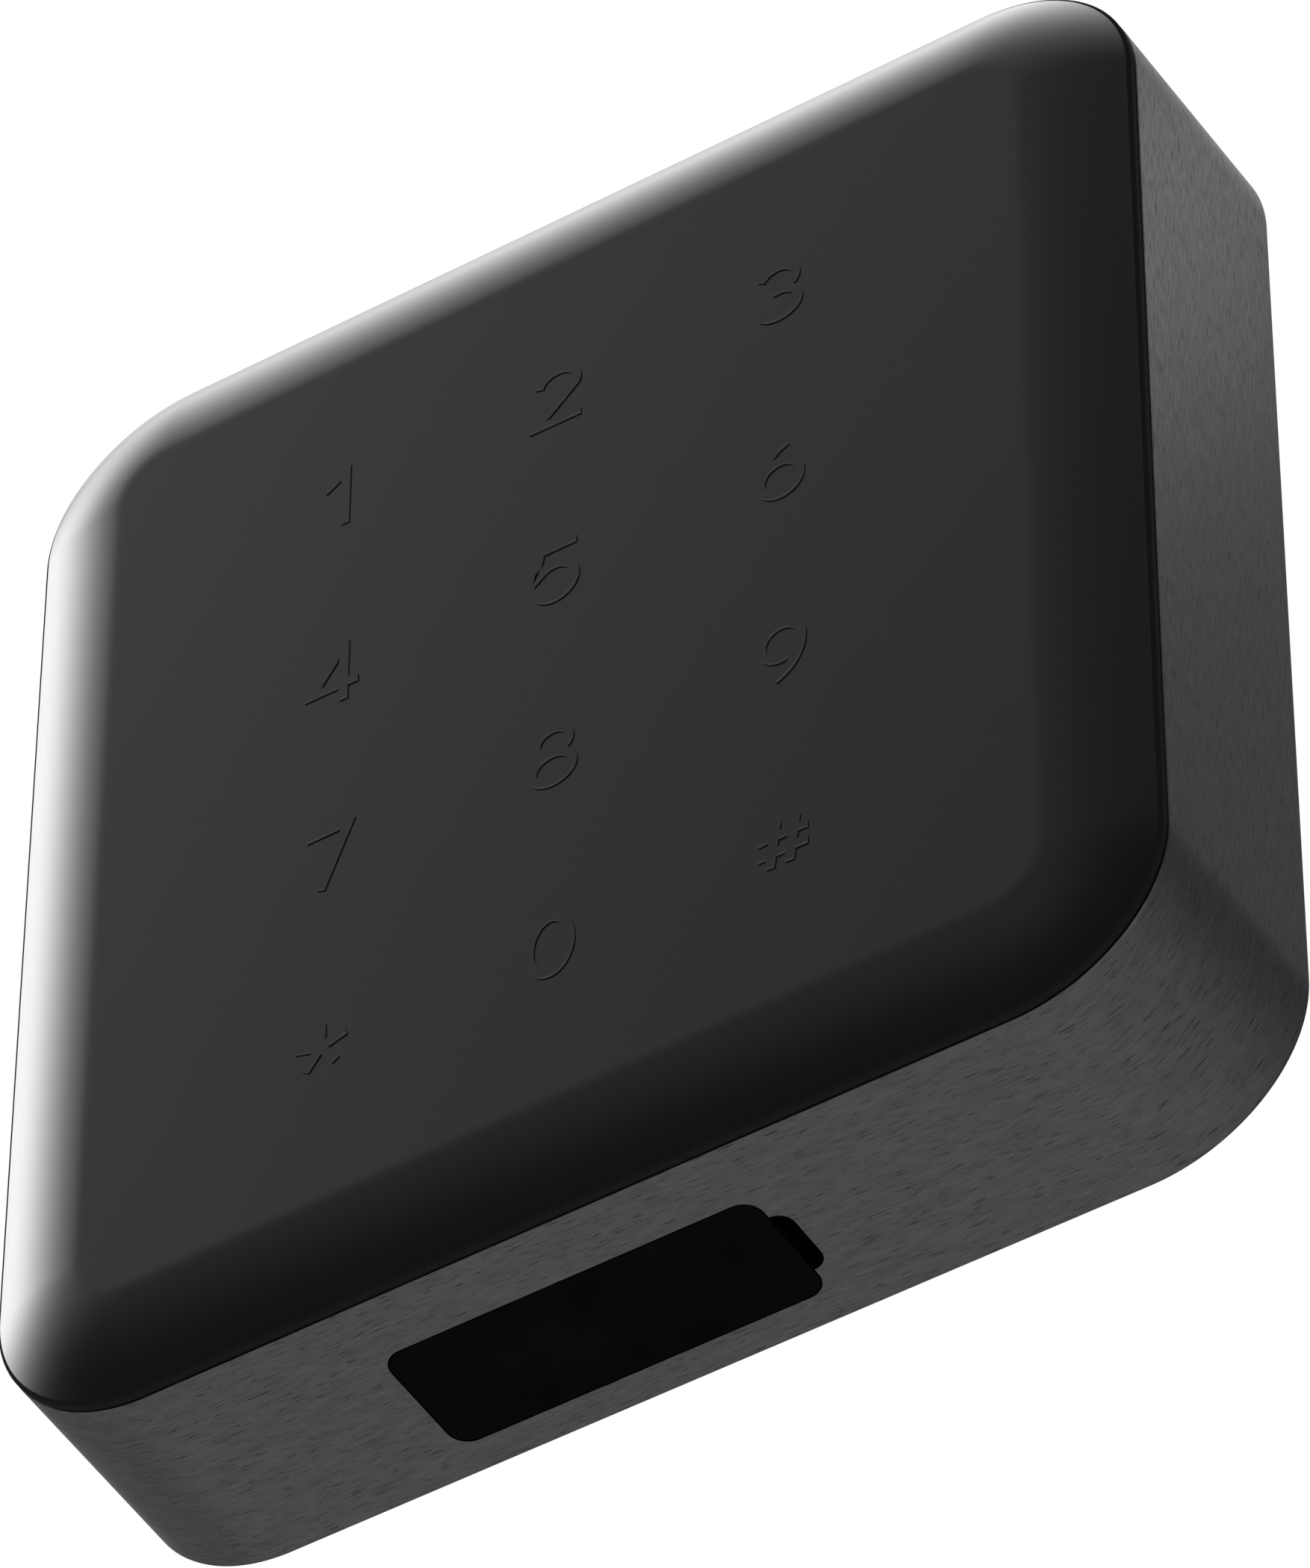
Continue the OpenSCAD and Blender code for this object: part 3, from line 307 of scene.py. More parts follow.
brushed, tree, _ = start_finish("brushed_anodised_aluminium")
band = add(tree, "ShaderNodeTexCoord").outputs["UV"]
scratch_map = add(tree, "ShaderNodeMapping", {"Vector": band, "Scale": (per_mm(2.0), per_mm(0.1), 1)})
scratches = add(tree, "ShaderNodeTexNoise", {
    "Vector": scratch_map.outputs[0], "Scale": 1, "Detail": 2, "Roughness": 0.55, "Distortion": 0.3})
cut_marks = add(
    tree, "ShaderNodeValToRGB", {"Fac": scratches.outputs["Fac"]},
    stops=((0.34, 0), (0.40, 1))).outputs["Color"]
bundle_map = add(tree, "ShaderNodeMapping", {"Vector": band, "Scale": (per_mm(5), per_mm(1.1), 1)})
bundles = add(tree, "ShaderNodeTexNoise", {"Vector": bundle_map.outputs[0], "Scale": 1, "Detail": 3})
fine_map = add(tree, "ShaderNodeMapping", {"Vector": band, "Scale": (per_mm(2.4), per_mm(0.07), 1)})
fine = add(tree, "ShaderNodeTexNoise", {"Vector": fine_map.outputs[0], "Scale": 1, "Detail": 2})
ground = add(
    tree, "ShaderNodeValToRGB", {"Fac": bundles.outputs["Fac"]},
    stops=((0.35, "#414142"), (0.65, "#464647"))).outputs["Color"]
shade = add(
    tree, "ShaderNodeValToRGB", {"Fac": fine.outputs["Fac"]},
    stops=((0.3, "#E2E2E2"), (0.5, "#FFFFFF"))).outputs["Color"]
toned = add(tree, "ShaderNodeMix", {0: 1.0, 6: ground, 7: shade}, data_type="RGBA", blend_type="MULTIPLY")
scratched = add(tree, "ShaderNodeMix", {0: cut_marks, 6: linear("#262627"), 7: toned.outputs[2]},
                data_type="RGBA")
bump = add(tree, "ShaderNodeBump", {
    "Height": scratches.outputs["Fac"], "Strength": 0.35, "Distance": 0.03 * MM})
polish = add(
    tree, "ShaderNodeValToRGB", {"Fac": scratches.outputs["Fac"]},
    stops=((0.35, 0.5), (0.6, 0.38)))
# the dyed film takes some of the shine out of the metal where it is seen at a low angle
shader = add(tree, "ShaderNodeBsdfPrincipled", {
    "Base Color": scratched.outputs[2],
    "Metallic": 1.0,
    "Roughness": polish.outputs["Color"],
    "Specular Tint": linear("#DADADA"),
    "Normal": bump.outputs["Normal"],
})
add(tree, "ShaderNodeOutputMaterial", {"Surface": shader.outputs["BSDF"]})

# The mouth is milled through after the brushing. Its walls are painted nearly black, as painted shade for
# the gap round the hatch, with a fine grain.
mouth_painted_shade, tree, place = start_finish("mouth_walls_painted_shade")
cutter_marks = add(tree, "ShaderNodeTexNoise", {"Vector": place, "Scale": per_mm(0.2), "Detail": 2})
bump = add(tree, "ShaderNodeBump", {
    "Height": cutter_marks.outputs["Fac"], "Strength": 0.3, "Distance": 0.01 * MM})
# painted shade: the walls' colour is kept nearly black
tone = add(
    tree, "ShaderNodeValToRGB", {"Fac": cutter_marks.outputs["Fac"]},
    stops=((0.3, "#101011"), (0.7, "#18181A")))
shader = add(tree, "ShaderNodeBsdfPrincipled", {
    "Base Color": tone.outputs["Color"],
    "Metallic": 1.0,
    "Roughness": 0.5,
    "Normal": bump.outputs["Normal"],
})
add(tree, "ShaderNodeOutputMaterial", {"Surface": shader.outputs["BSDF"]})
housing = finish_mesh("brushed_housing", housing_mesh, "unit", "brushed_band", brushed, mouth_painted_shade)
for cutter in mouth_cutters:
    combine(housing, cutter, "DIFFERENCE")
# the mouth's upright walls take the painted shade
for face in housing.data.polygons:
    x, y, z = face.center
    across_mouth = mouth_x0 - CLEAR < x < notch_x1 + CLEAR
    in_mouth = across_mouth and mouth_y0 - CLEAR < y < mouth_y1 + CLEAR
    face.material_index = int(in_mouth and z < 0 and abs(face.normal.z) < 0.5)
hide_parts("housing")

# ---- Front cover ----
# One moulding of black acrylic, polished in the mould: a flat face with a border that falls away in an arc.
# A small lip runs round the foot of the dome, and a skirt behind it drops into the housing.
cover_low, cover_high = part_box("front_cover")
FACE_Y = cover_low.y
SKIRT_Y = cover_high.y
SEAM_GAP = 0.2 * MM
RIM = 0.38 * MM
RIM_H = 1.0 * MM
LIP = 0.04 * MM
LIP_STEP = 0.02 * MM
LIP_TILT = math.radians(30)
LIP_EDGE = 0.14 * MM
BORDER = 9.12 * MM
TILT = math.radians(3)
COVER_T = 2 * MM
SKIRT_T = 1.5 * MM
SKIRT = WALL + 0.15 * MM
drop = SEAM_Y - RIM_H - FACE_Y
ARC_R = math.hypot(BORDER, drop) / (2 * math.sin(math.atan(drop / BORDER) - TILT))
SOFT = 0.45 * MM
ARC_STEPS = 32
LIP_STEPS = 6
INSIDE_STEPS = 12


def front_loop(inset, y):
    """A loop that far inside the housing's outline at the seam."""
    return inset_loop(DRAFT + inset, y)


def arc_fall(u, radius):
    """How far the border has fallen back at the distance u from the flat, with a soft crease in between."""
    if u < SOFT:
        u = (u + SOFT) ** 2 / (4 * SOFT)
    return radius * math.cos(TILT) - math.sqrt(radius**2 - (u + radius * math.sin(TILT)) ** 2)


FLAT = RIM + BORDER
# the first loop lies inside the soft crease and keeps the face flat
section = [(FLAT + 1.5 * SOFT, FACE_Y)]
for i in range(ARC_STEPS + 1):
    u = -SOFT + (BORDER + SOFT) * i / ARC_STEPS
    section.append((FLAT - u, FACE_Y + arc_fall(u, ARC_R)))
# the lip starts a hair behind the dome's rim and goes on falling, then turns over its edge
lip_start = SEAM_Y - RIM_H + LIP_STEP
section.append((RIM, lip_start))
turn_in = LIP + LIP_EDGE * (1 - math.sin(LIP_TILT))
turn_y = lip_start + (RIM - turn_in) * math.tan(LIP_TILT) + LIP_EDGE * math.cos(LIP_TILT)
for i in range(LIP_STEPS + 1):
    a = LIP_TILT + (math.radians(90) - LIP_TILT) * i / LIP_STEPS
    section.append((LIP + LIP_EDGE * (1 - math.sin(a)), turn_y - LIP_EDGE * math.cos(a)))
skirt_in = SKIRT + SKIRT_T
section += [(LIP, SEAM_Y - SEAM_GAP), (SKIRT, SEAM_Y - SEAM_GAP), (SKIRT, SKIRT_Y), (skirt_in, SKIRT_Y)]
hollow = FLAT - skirt_in + COVER_T * math.sin(TILT)
for i in range(INSIDE_STEPS + 1):
    u = hollow * (1 - i / INSIDE_STEPS)
    section.append((skirt_in + hollow - u, FACE_Y + COVER_T + arc_fall(u, ARC_R - COVER_T)))
cover_mesh = bmesh.new()
rows = skin_loops(cover_mesh, [front_loop(inset, y) for inset, y in section], closed=False)
cover_mesh.faces.new(rows[0])
cover_mesh.faces.new(rows[-1])
for face in cover_mesh.faces:
    face.material_index = int(face.calc_center_median().y > lip_start)

# four bosses for the cover screws stand on the inside of the face, each with its bore
BOSS_R = 2.3 * MM
BORE_R = 1.15 * MM
BORE_END = 0.6 * MM
BOSS_Z = 26 * MM
BOSS_GAP = 0.4 * MM
BOSS_ROOT = 0.5 * MM
BOSS_SIDES = 32
boss_x = HALF_W - DRAFT - skirt_in - BOSS_R - BOSS_GAP
for x, z in ((boss_x, BOSS_Z), (boss_x, -BOSS_Z), (-boss_x, BOSS_Z), (-boss_x, -BOSS_Z)):
    rings = []
    for radius, y in (
        (BOSS_R, FACE_Y + COVER_T - BOSS_ROOT), (BOSS_R, SKIRT_Y), (BORE_R, SKIRT_Y),
        (BORE_R, FACE_Y + COVER_T + BORE_END),
    ):
        rings.append([
            cover_mesh.verts.new((x + radius * math.cos(a), y, z + radius * math.sin(a)))
            for a in (2 * math.pi * k / BOSS_SIDES for k in range(BOSS_SIDES))
        ])
    for a, b in zip(rings, rings[1:]):
        for k in range(BOSS_SIDES):
            m = (k + 1) % BOSS_SIDES
            cover_mesh.faces.new((a[k], a[m], b[m], b[k])).material_index = 1
    cover_mesh.faces.new(rings[0])
    cover_mesh.faces.new(rings[-1]).material_index = 1

# Gloss black as far as the lip, with a faint haze and fine specks of dust.
gloss, tree, place = start_finish("black_polished_acrylic")
haze = add(tree, "ShaderNodeTexNoise", {"Vector": place, "Scale": per_mm(30), "Detail": 3})
dust = add(tree, "ShaderNodeTexVoronoi", {"Vector": place, "Scale": per_mm(2.2), "Randomness": 1})
specks = add(
    tree, "ShaderNodeValToRGB", {"Fac": dust.outputs["Distance"]},
    stops=((0.0, 1), (0.05, 0))).outputs["Color"]
rough = add(tree, "ShaderNodeMath", {0: haze.outputs["Fac"], 1: 0.05, 2: 0.05}, operation="MULTIPLY_ADD")
wave = add(tree, "ShaderNodeBump", {"Height": haze.outputs["Fac"], "Strength": 0.1, "Distance": 0.01 * MM})
tone = add(tree, "ShaderNodeValToRGB", {"Fac": specks}, stops=((0, "#080808"), (1, "#141414")))
shader = add(tree, "ShaderNodeBsdfPrincipled", {
    "Base Color": tone.outputs["Color"],
    "Roughness": rough.outputs[0],
    "IOR": 1.49,
    "Normal": wave.outputs["Normal"],
})
add(tree, "ShaderNodeOutputMaterial", {"Surface": shader.outputs["BSDF"]})

# The lip, the skirt and the bosses come from the unpolished part of the mould, and hardly shine at all.
dull_skin, tree, place = start_finish("unpolished_acrylic")
stone = add(tree, "ShaderNodeTexNoise", {"Vector": place, "Scale": per_mm(0.2), "Detail": 2})
bump = add(tree, "ShaderNodeBump", {"Height": stone.outputs["Fac"], "Strength": 0.3, "Distance": 0.01 * MM})
tone = add(
    tree, "ShaderNodeValToRGB", {"Fac": stone.outputs["Fac"]},
    stops=((0.3, "#101010"), (0.7, "#151515")))
shader = add(tree, "ShaderNodeBsdfPrincipled", {
    "Base Color": tone.outputs["Color"],
    "Roughness": 0.7,
    "IOR": 1.49,
    "Specular IOR Level": 0.01,
    "Normal": bump.outputs["Normal"],
})
add(tree, "ShaderNodeOutputMaterial", {"Surface": shader.outputs["BSDF"]})
cover = finish_mesh("gloss_cover", cover_mesh, "unit", "gloss_cover", gloss, dull_skin, sharp=20)
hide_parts("front_cover")

# ---- Legends on the face ----
# The signs of the twelve keys stand 0.2 mm proud of the face, moulded with it in one shot.
# They are plain strokes of even width with square ends, polished on top like the face.
PITCH = 21.84 * MM
STROKE = 0.8 * MM
PROUD = 0.2 * MM
SINK = 0.05 * MM
WELD = 0.002 * MM
# at a sharp bend the mitre is no longer than this cosine allows
MITRE_LIMIT = 0.5


def bow(cx, cz, rx, rz, start, end, count=20):
    """Points on an elliptic bow between two angles in degrees, in millimetres about the sign's middle."""
    return [
        (cx + rx * math.cos(math.radians(a)), cz + rz * math.sin(math.radians(a)))
        for a in (start + (end - start) * i / count for i in range(count + 1))
    ]


signs = {
    "1": [[(-1.7, 1.5), (0.55, 2.9), (0.55, -3.5)]],
    "2": [bow(0, 1.45, 1.9, 1.65, 170, -25) + [(-2.1, -3.1), (2.3, -3.1)]],
    "3": [bow(-0.1, 1.6, 1.75, 1.5, 160, -75) + [(-0.6, 0.12)],
          [(-0.6, 0.12)] + bow(-0.1, -1.45, 2.0, 1.65, 80, -165)],
    "4": [[(1.0, 3.5), (1.0, -3.5)], [(1.0, 3.1), (-2.2, -1.6), (2.4, -1.6)]],
    "5": [[(2.0, 3.1), (-1.5, 3.1), (-1.75, 0.1)] + bow(-0.05, -1.05, 2.0, 2.05, 140, -155)],
    "6": [bow(0, -1.15, 1.9, 1.95, 0, 360, 32), bow(1.6, -1.1, 3.5, 4.2, 180, 105, 12)],
    "7": [[(-2.1, 3.1), (2.0, 3.1), (-0.6, -3.5)]],
    "8": [bow(0, 1.65, 1.6, 1.45, 0, 360, 32), bow(0, -1.45, 1.95, 1.65, 0, 360, 32)],
    "9": [bow(0, 1.15, 1.9, 1.95, 0, 360, 32), bow(-1.6, 1.1, 3.5, 4.2, 0, -75, 12)],
    "*": [[(0, 0), (2.5 * math.cos(math.radians(90 + 72 * i)), 2.5 * math.sin(math.radians(90 + 72 * i)))]
          for i in range(5)],
    "0": [bow(0, 0, 1.95, 3.1, 0, 360, 40)],
    "#": [[(-2.3, 0.9), (2.3, 0.9)], [(-2.3, -0.9), (2.3, -0.9)],
          [(-0.6, 2.4), (-1.2, -2.4)], [(1.2, 2.4), (0.6, -2.4)]],
}
layout = ("123", "456", "789", "*0#")


def stroke_prism(mesh, points, cx, cz):
    """One stroke of a sign: a bar of even width along a line, mitred at its bends."""
    line = [Vector(p) * MM for p in points]
    ring = (line[0] - line[-1]).length < WELD
    if ring:
        line = line[:-1]
    count = len(line)
    sides = []
    for i, p in enumerate(line):
        before = line[i - 1] if ring or i else None
        after = line[(i + 1) % count] if ring or i < count - 1 else None
        into = (p - before).normalized() if before is not None else (after - p).normalized()
        out = (after - p).normalized() if after is not None else into
        mid = (into + out).normalized()
        normal = Vector((-mid.y, mid.x))
        half = STROKE / 2 / max(mid.dot(into), MITRE_LIMIT)
        sides.append((p + normal * half, p - normal * half))
    root, top = FACE_Y + SINK, FACE_Y - PROUD
    corners = []
    for left, right in sides:
        around = ((left, root), (left, top), (right, top), (right, root))
        corners.append([mesh.verts.new((cx + q.x, y, cz + q.y)) for q, y in around])
    last = count if ring else count - 1
    for i in range(last):
        a, b = corners[i], corners[(i + 1) % count]
        for k in range(4):
            m = (k + 1) % 4
            mesh.faces.new((a[k], b[k], b[m], a[m]))
    if not ring:
        mesh.faces.new(corners[0])
        mesh.faces.new(corners[-1])


# the strokes of a sign lie in different layers, and the layers are then joined
layers = [bmesh.new() for _ in range(max(len(strokes) for strokes in signs.values()))]
for row, line_of_signs in enumerate(layout):
    for column, sign in enumerate(line_of_signs):
        for k, points in enumerate(signs[sign]):
            stroke_prism(layers[k], points, (column - 1) * PITCH, (1.5 - row) * PITCH)

# The tops are polished with the face. The upright sides come from the engraved mould and are matt. They are
# the same black acrylic, but painted mid grey: a painted reflection that makes them show nearly as bright as
# the gloss face.
sides_painted_reflection, tree, place = start_finish("acrylic_sides_painted_reflection")
engraved = add(tree, "ShaderNodeTexNoise", {"Vector": place, "Scale": per_mm(0.15), "Detail": 2})
# painted reflection: the sides are given mid grey instead of the acrylic's black
tone = add(
    tree, "ShaderNodeValToRGB", {"Fac": engraved.outputs["Fac"]},
    stops=((0.3, "#434343"), (0.7, "#4D4D4D")))
shader = add(tree, "ShaderNodeBsdfPrincipled", {
    "Base Color": tone.outputs["Color"],
    "Roughness": 0.85,
    "IOR": 1.49,
})
add(tree, "ShaderNodeOutputMaterial", {"Surface": shader.outputs["BSDF"]})
legends = finish_mesh("raised_legends", layers[0], "unit", "gloss_cover", gloss, sides_painted_reflection)
for layer in layers[1:]:
    combine(legends, passing_solid(layer), "UNION")
# the joined tops become whole faces again, with nothing left of the strokes inside them
joined = bmesh.new()
joined.from_mesh(legends.data)
bmesh.ops.remove_doubles(joined, verts=joined.verts, dist=WELD)
bmesh.ops.dissolve_degenerate(joined, edges=joined.edges, dist=WELD)
bmesh.ops.dissolve_limit(joined, angle_limit=math.radians(1), verts=joined.verts, edges=joined.edges)
joined.to_mesh(legends.data)
joined.free()
# the upright sides take the grey painted reflection
for face in legends.data.polygons:
    face.material_index = int(abs(face.normal.y) < 0.5)
legends.data.set_sharp_from_angle(angle=math.radians(30))

# ---- Cover seal ----
# A ring cut from closed-cell foam rubber, squeezed between the cover's skirt and the chassis.
# Dull black, with the cut cells open at its surface as pores of about a third of a millimetre.
foam, tree, place = start_finish("closed_cell_foam_rubber")
pores = add(tree, "ShaderNodeTexVoronoi", {"Vector": place, "Scale": per_mm(0.35), "Randomness": 1})
skin = add(tree, "ShaderNodeTexNoise", {"Vector": place, "Scale": per_mm(3), "Detail": 4})
bump = add(tree, "ShaderNodeBump", {
    "Height": pores.outputs["Distance"], "Strength": 0.6, "Distance": 0.08 * MM})
tone = add(
    tree, "ShaderNodeValToRGB", {"Fac": skin.outputs["Fac"]},
    stops=((0.3, "#181818"), (0.7, "#242423")))
shader = add(tree, "ShaderNodeBsdfPrincipled", {
    "Base Color": tone.outputs["Color"],
    "Roughness": 0.85,
    "IOR": 1.5,
    "Normal": bump.outputs["Normal"],
})
add(tree, "ShaderNodeOutputMaterial", {"Surface": shader.outputs["BSDF"]})
wear("cover_seal", foam)

# ---- Adhesive sheet ----
# A quarter of a millimetre of clear acrylic adhesive that bonds the touch board to the back of the face.
# It looks milky white, with faint bubbles caught when it was pressed down.
adhesive, tree, place = start_finish("acrylic_adhesive_film")
bubbles = add(tree, "ShaderNodeTexVoronoi", {"Vector": place, "Scale": per_mm(5), "Randomness": 1})
milk = add(tree, "ShaderNodeTexNoise", {"Vector": place, "Scale": per_mm(9), "Detail": 3})
caught = add(
    tree, "ShaderNodeValToRGB", {"Fac": bubbles.outputs["Distance"]},
    stops=((0.04, 1), (0.09, 0))).outputs["Color"]
bump = add(tree, "ShaderNodeBump", {"Height": caught, "Strength": 0.4, "Distance": 0.05 * MM})
tone = add(
    tree, "ShaderNodeValToRGB", {"Fac": milk.outputs["Fac"]},
    stops=((0.3, "#C4C4C0"), (0.7, "#D4D4D0")))
shader = add(tree, "ShaderNodeBsdfPrincipled", {
    "Base Color": tone.outputs["Color"],
    "Roughness": 0.22,
    "IOR": 1.47,
    "Subsurface Weight": 0.3,
    "Subsurface Scale": 0.5 * MM,
    "Normal": bump.outputs["Normal"],
})
add(tree, "ShaderNodeOutputMaterial", {"Surface": shader.outputs["BSDF"]})
wear("adhesive_sheet", adhesive)

# ---- Touch board and main board ----
# Glass-epoxy laminate under green solder mask. The copper tracks stand up under the mask and look lighter,
# and small tinned pads come through it. The bare edges of the laminate are a pale straw green.
board_finish, tree, place = start_finish("glass_epoxy_laminate")
flat_place = add(tree, "ShaderNodeMapping", {"Vector": place, "Scale": (1, 0, 1)})
grid = {"Vector": flat_place.outputs[0], "Scale": per_mm(3.2), "Randomness": 0.55}
field = add(tree, "ShaderNodeTexVoronoi", grid, distance="CHEBYCHEV", feature="F1")
second = add(tree, "ShaderNodeTexVoronoi", grid, distance="CHEBYCHEV", feature="F2")
between = add(tree, "ShaderNodeMath", {0: second.outputs["Distance"], 1: field.outputs["Distance"]},
              operation="SUBTRACT")
track = add(
    tree, "ShaderNodeValToRGB", {"Fac": between.outputs[0]},
    stops=((0.05, 1), (0.09, 0))).outputs["Color"]
pad = add(
    tree, "ShaderNodeValToRGB", {"Fac": field.outputs["Distance"]},
    stops=((0.09, 1), (0.11, 0))).outputs["Color"]
weave = add(tree, "ShaderNodeTexNoise", {"Vector": place, "Scale": per_mm(0.4), "Detail": 2})
mask = add(
    tree, "ShaderNodeValToRGB", {"Fac": weave.outputs["Fac"]},
    stops=((0.3, "#0E3B22"), (0.7, "#134A2B"))).outputs["Color"]
mask_colour = add(tree, "ShaderNodeMix", {0: track, 6: mask, 7: linear("#1F6B40")}, data_type="RGBA")
with_pads = add(tree, "ShaderNodeMix", {0: pad, 6: mask_colour.outputs[2], 7: linear("#B9B7AE")},
                data_type="RGBA")
facing = add(tree, "ShaderNodeSeparateXYZ", {0: add(tree, "ShaderNodeNewGeometry").outputs["True Normal"]})
on_face = add(tree, "ShaderNodeMath", {0: facing.outputs["Y"]}, operation="ABSOLUTE")
faced = add(tree, "ShaderNodeValToRGB", {"Fac": on_face.outputs[0]}, stops=((0.5, 0), (0.6, 1)))
bare_edge = add(
    tree, "ShaderNodeValToRGB", {"Fac": weave.outputs["Fac"]},
    stops=((0.4, "#8C8F62"), (0.6, "#A5A67A"))).outputs["Color"]
edge_or_face = add(tree, "ShaderNodeMix", {
    0: faced.outputs["Color"], 6: bare_edge, 7: with_pads.outputs[2],
}, data_type="RGBA")
bump = add(tree, "ShaderNodeBump", {"Height": track, "Strength": 0.5, "Distance": 0.035 * MM})
polish = add(tree, "ShaderNodeValToRGB", {"Fac": pad}, stops=((0, 0.32), (1, 0.26)))
shader = add(tree, "ShaderNodeBsdfPrincipled", {
    "Base Color": edge_or_face.outputs[2],
    "Metallic": pad,
    "Roughness": polish.outputs["Color"],
    "IOR": 1.52,
    "Normal": bump.outputs["Normal"],
})
add(tree, "ShaderNodeOutputMaterial", {"Surface": shader.outputs["BSDF"]})
wear("touch_board", board_finish)
wear("main_board", board_finish)

# ---- Chassis and rear cover ----
# Two mouldings of black ABS. The mould is spark eroded, so they are dull, with an even grain of 0.25 mm.
# Broad patches are a little lighter, where the grain is worn.
black_abs, tree, place = start_finish("spark_textured_abs")
grain = add(tree, "ShaderNodeTexNoise", {
    "Vector": place, "Scale": per_mm(0.25), "Detail": 3, "Roughness": 0.7})
handled = add(tree, "ShaderNodeTexNoise", {"Vector": place, "Scale": per_mm(25), "Detail": 3})
bump = add(tree, "ShaderNodeBump", {"Height": grain.outputs["Fac"], "Strength": 0.5, "Distance": 0.03 * MM})
tone = add(
    tree, "ShaderNodeValToRGB", {"Fac": handled.outputs["Fac"]},
    stops=((0.3, "#161718"), (0.7, "#1D1E1F")))
polish = add(tree, "ShaderNodeValToRGB", {"Fac": grain.outputs["Fac"]}, stops=((0.3, 0.62), (0.7, 0.5)))
shader = add(tree, "ShaderNodeBsdfPrincipled", {
    "Base Color": tone.outputs["Color"],
    "Roughness": polish.outputs["Color"],
    "IOR": 1.54,
    "Normal": bump.outputs["Normal"],
})
add(tree, "ShaderNodeOutputMaterial", {"Surface": shader.outputs["BSDF"]})
wear("chassis", black_abs)
wear("rear_cover", black_abs)

# ---- Screws ----
# Nickel-plated steel with cross recesses: four hold the cover, four the main board and four the rear cover.
# The plating is warmer and a little glossier than the bracket's zinc, with faint stains and a fine grain.
screw_steel, tree, place = start_finish("nickel_plated_steel")
grain = add(tree, "ShaderNodeTexNoise", {"Vector": place, "Scale": per_mm(0.12), "Detail": 2})
stain = add(tree, "ShaderNodeTexNoise", {"Vector": place, "Scale": per_mm(1.5), "Detail": 3})
bump = add(tree, "ShaderNodeBump", {"Height": grain.outputs["Fac"], "Strength": 0.3, "Distance": 0.01 * MM})
tone = add(
    tree, "ShaderNodeValToRGB", {"Fac": stain.outputs["Fac"]},
    stops=((0.3, "#A39F98"), (0.7, "#BDB9B1")))
polish = add(tree, "ShaderNodeValToRGB", {"Fac": stain.outputs["Fac"]}, stops=((0.3, 0.3), (0.7, 0.42)))
shader = add(tree, "ShaderNodeBsdfPrincipled", {
    "Base Color": tone.outputs["Color"],
    "Metallic": 1.0,
    "Roughness": polish.outputs["Color"],
    "Normal": bump.outputs["Normal"],
})
add(tree, "ShaderNodeOutputMaterial", {"Surface": shader.outputs["BSDF"]})
for node_name in ("cover_screws", "board_screws", "case_screws"):
    wear(node_name, screw_steel)

# ---- Chips on the main board ----
# Three packages of black epoxy, moulded round the silicon and soldered to the front of the main board.
# The filler in the epoxy gives them a matt skin, with faint flow marks.
chip_epoxy, tree, place = start_finish("moulded_epoxy")
filler = add(tree, "ShaderNodeTexNoise", {"Vector": place, "Scale": per_mm(0.15), "Detail": 2})
flow = add(tree, "ShaderNodeTexNoise", {"Vector": place, "Scale": per_mm(4), "Detail": 2})
bump = add(tree, "ShaderNodeBump", {"Height": filler.outputs["Fac"], "Strength": 0.3, "Distance": 0.02 * MM})
tone = add(
    tree, "ShaderNodeValToRGB", {"Fac": flow.outputs["Fac"]},
    stops=((0.3, "#1C1C1E"), (0.7, "#26262A")))
polish = add(tree, "ShaderNodeValToRGB", {"Fac": filler.outputs["Fac"]}, stops=((0.3, 0.6), (0.7, 0.48)))
shader = add(tree, "ShaderNodeBsdfPrincipled", {
    "Base Color": tone.outputs["Color"],
    "Roughness": polish.outputs["Color"],
    "IOR": 1.55,
    "Normal": bump.outputs["Normal"],
})
add(tree, "ShaderNodeOutputMaterial", {"Surface": shader.outputs["BSDF"]})
wear("chips", chip_epoxy)

# ---- Shield can and chip leads ----
# The can is folded from 0.3 mm steel and tin plated: soft grey metal with a slight orange-peel ripple.
# The largest chip has rows of tinned leads that bend down from its four sides to the board.
tin_plate, tree, place = start_finish("tin_plated_steel")
ripple = add(tree, "ShaderNodeTexNoise", {"Vector": place, "Scale": per_mm(0.8), "Detail": 2})
dull = add(tree, "ShaderNodeTexNoise", {"Vector": place, "Scale": per_mm(5), "Detail": 3})
bump = add(tree, "ShaderNodeBump", {"Height": ripple.outputs["Fac"], "Strength": 0.2, "Distance": 0.02 * MM})
tone = add(
    tree, "ShaderNodeValToRGB", {"Fac": dull.outputs["Fac"]},
    stops=((0.3, "#B6B8BA"), (0.7, "#CBCCCD")))
polish = add(tree, "ShaderNodeValToRGB", {"Fac": dull.outputs["Fac"]}, stops=((0.3, 0.24), (0.7, 0.36)))
shader = add(tree, "ShaderNodeBsdfPrincipled", {
    "Base Color": tone.outputs["Color"],
    "Metallic": 1.0,
    "Roughness": polish.outputs["Color"],
    "Normal": bump.outputs["Normal"],
})
add(tree, "ShaderNodeOutputMaterial", {"Surface": shader.outputs["BSDF"]})
wear("shield_can", tin_plate)

board_low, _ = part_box("main_board")
LEAD_W = 0.22 * MM
LEAD_PITCH = 0.5 * MM
LEAD_T = 0.12 * MM
LEAD_REACH = 0.9 * MM
LEAD_RISE = 0.6 * MM
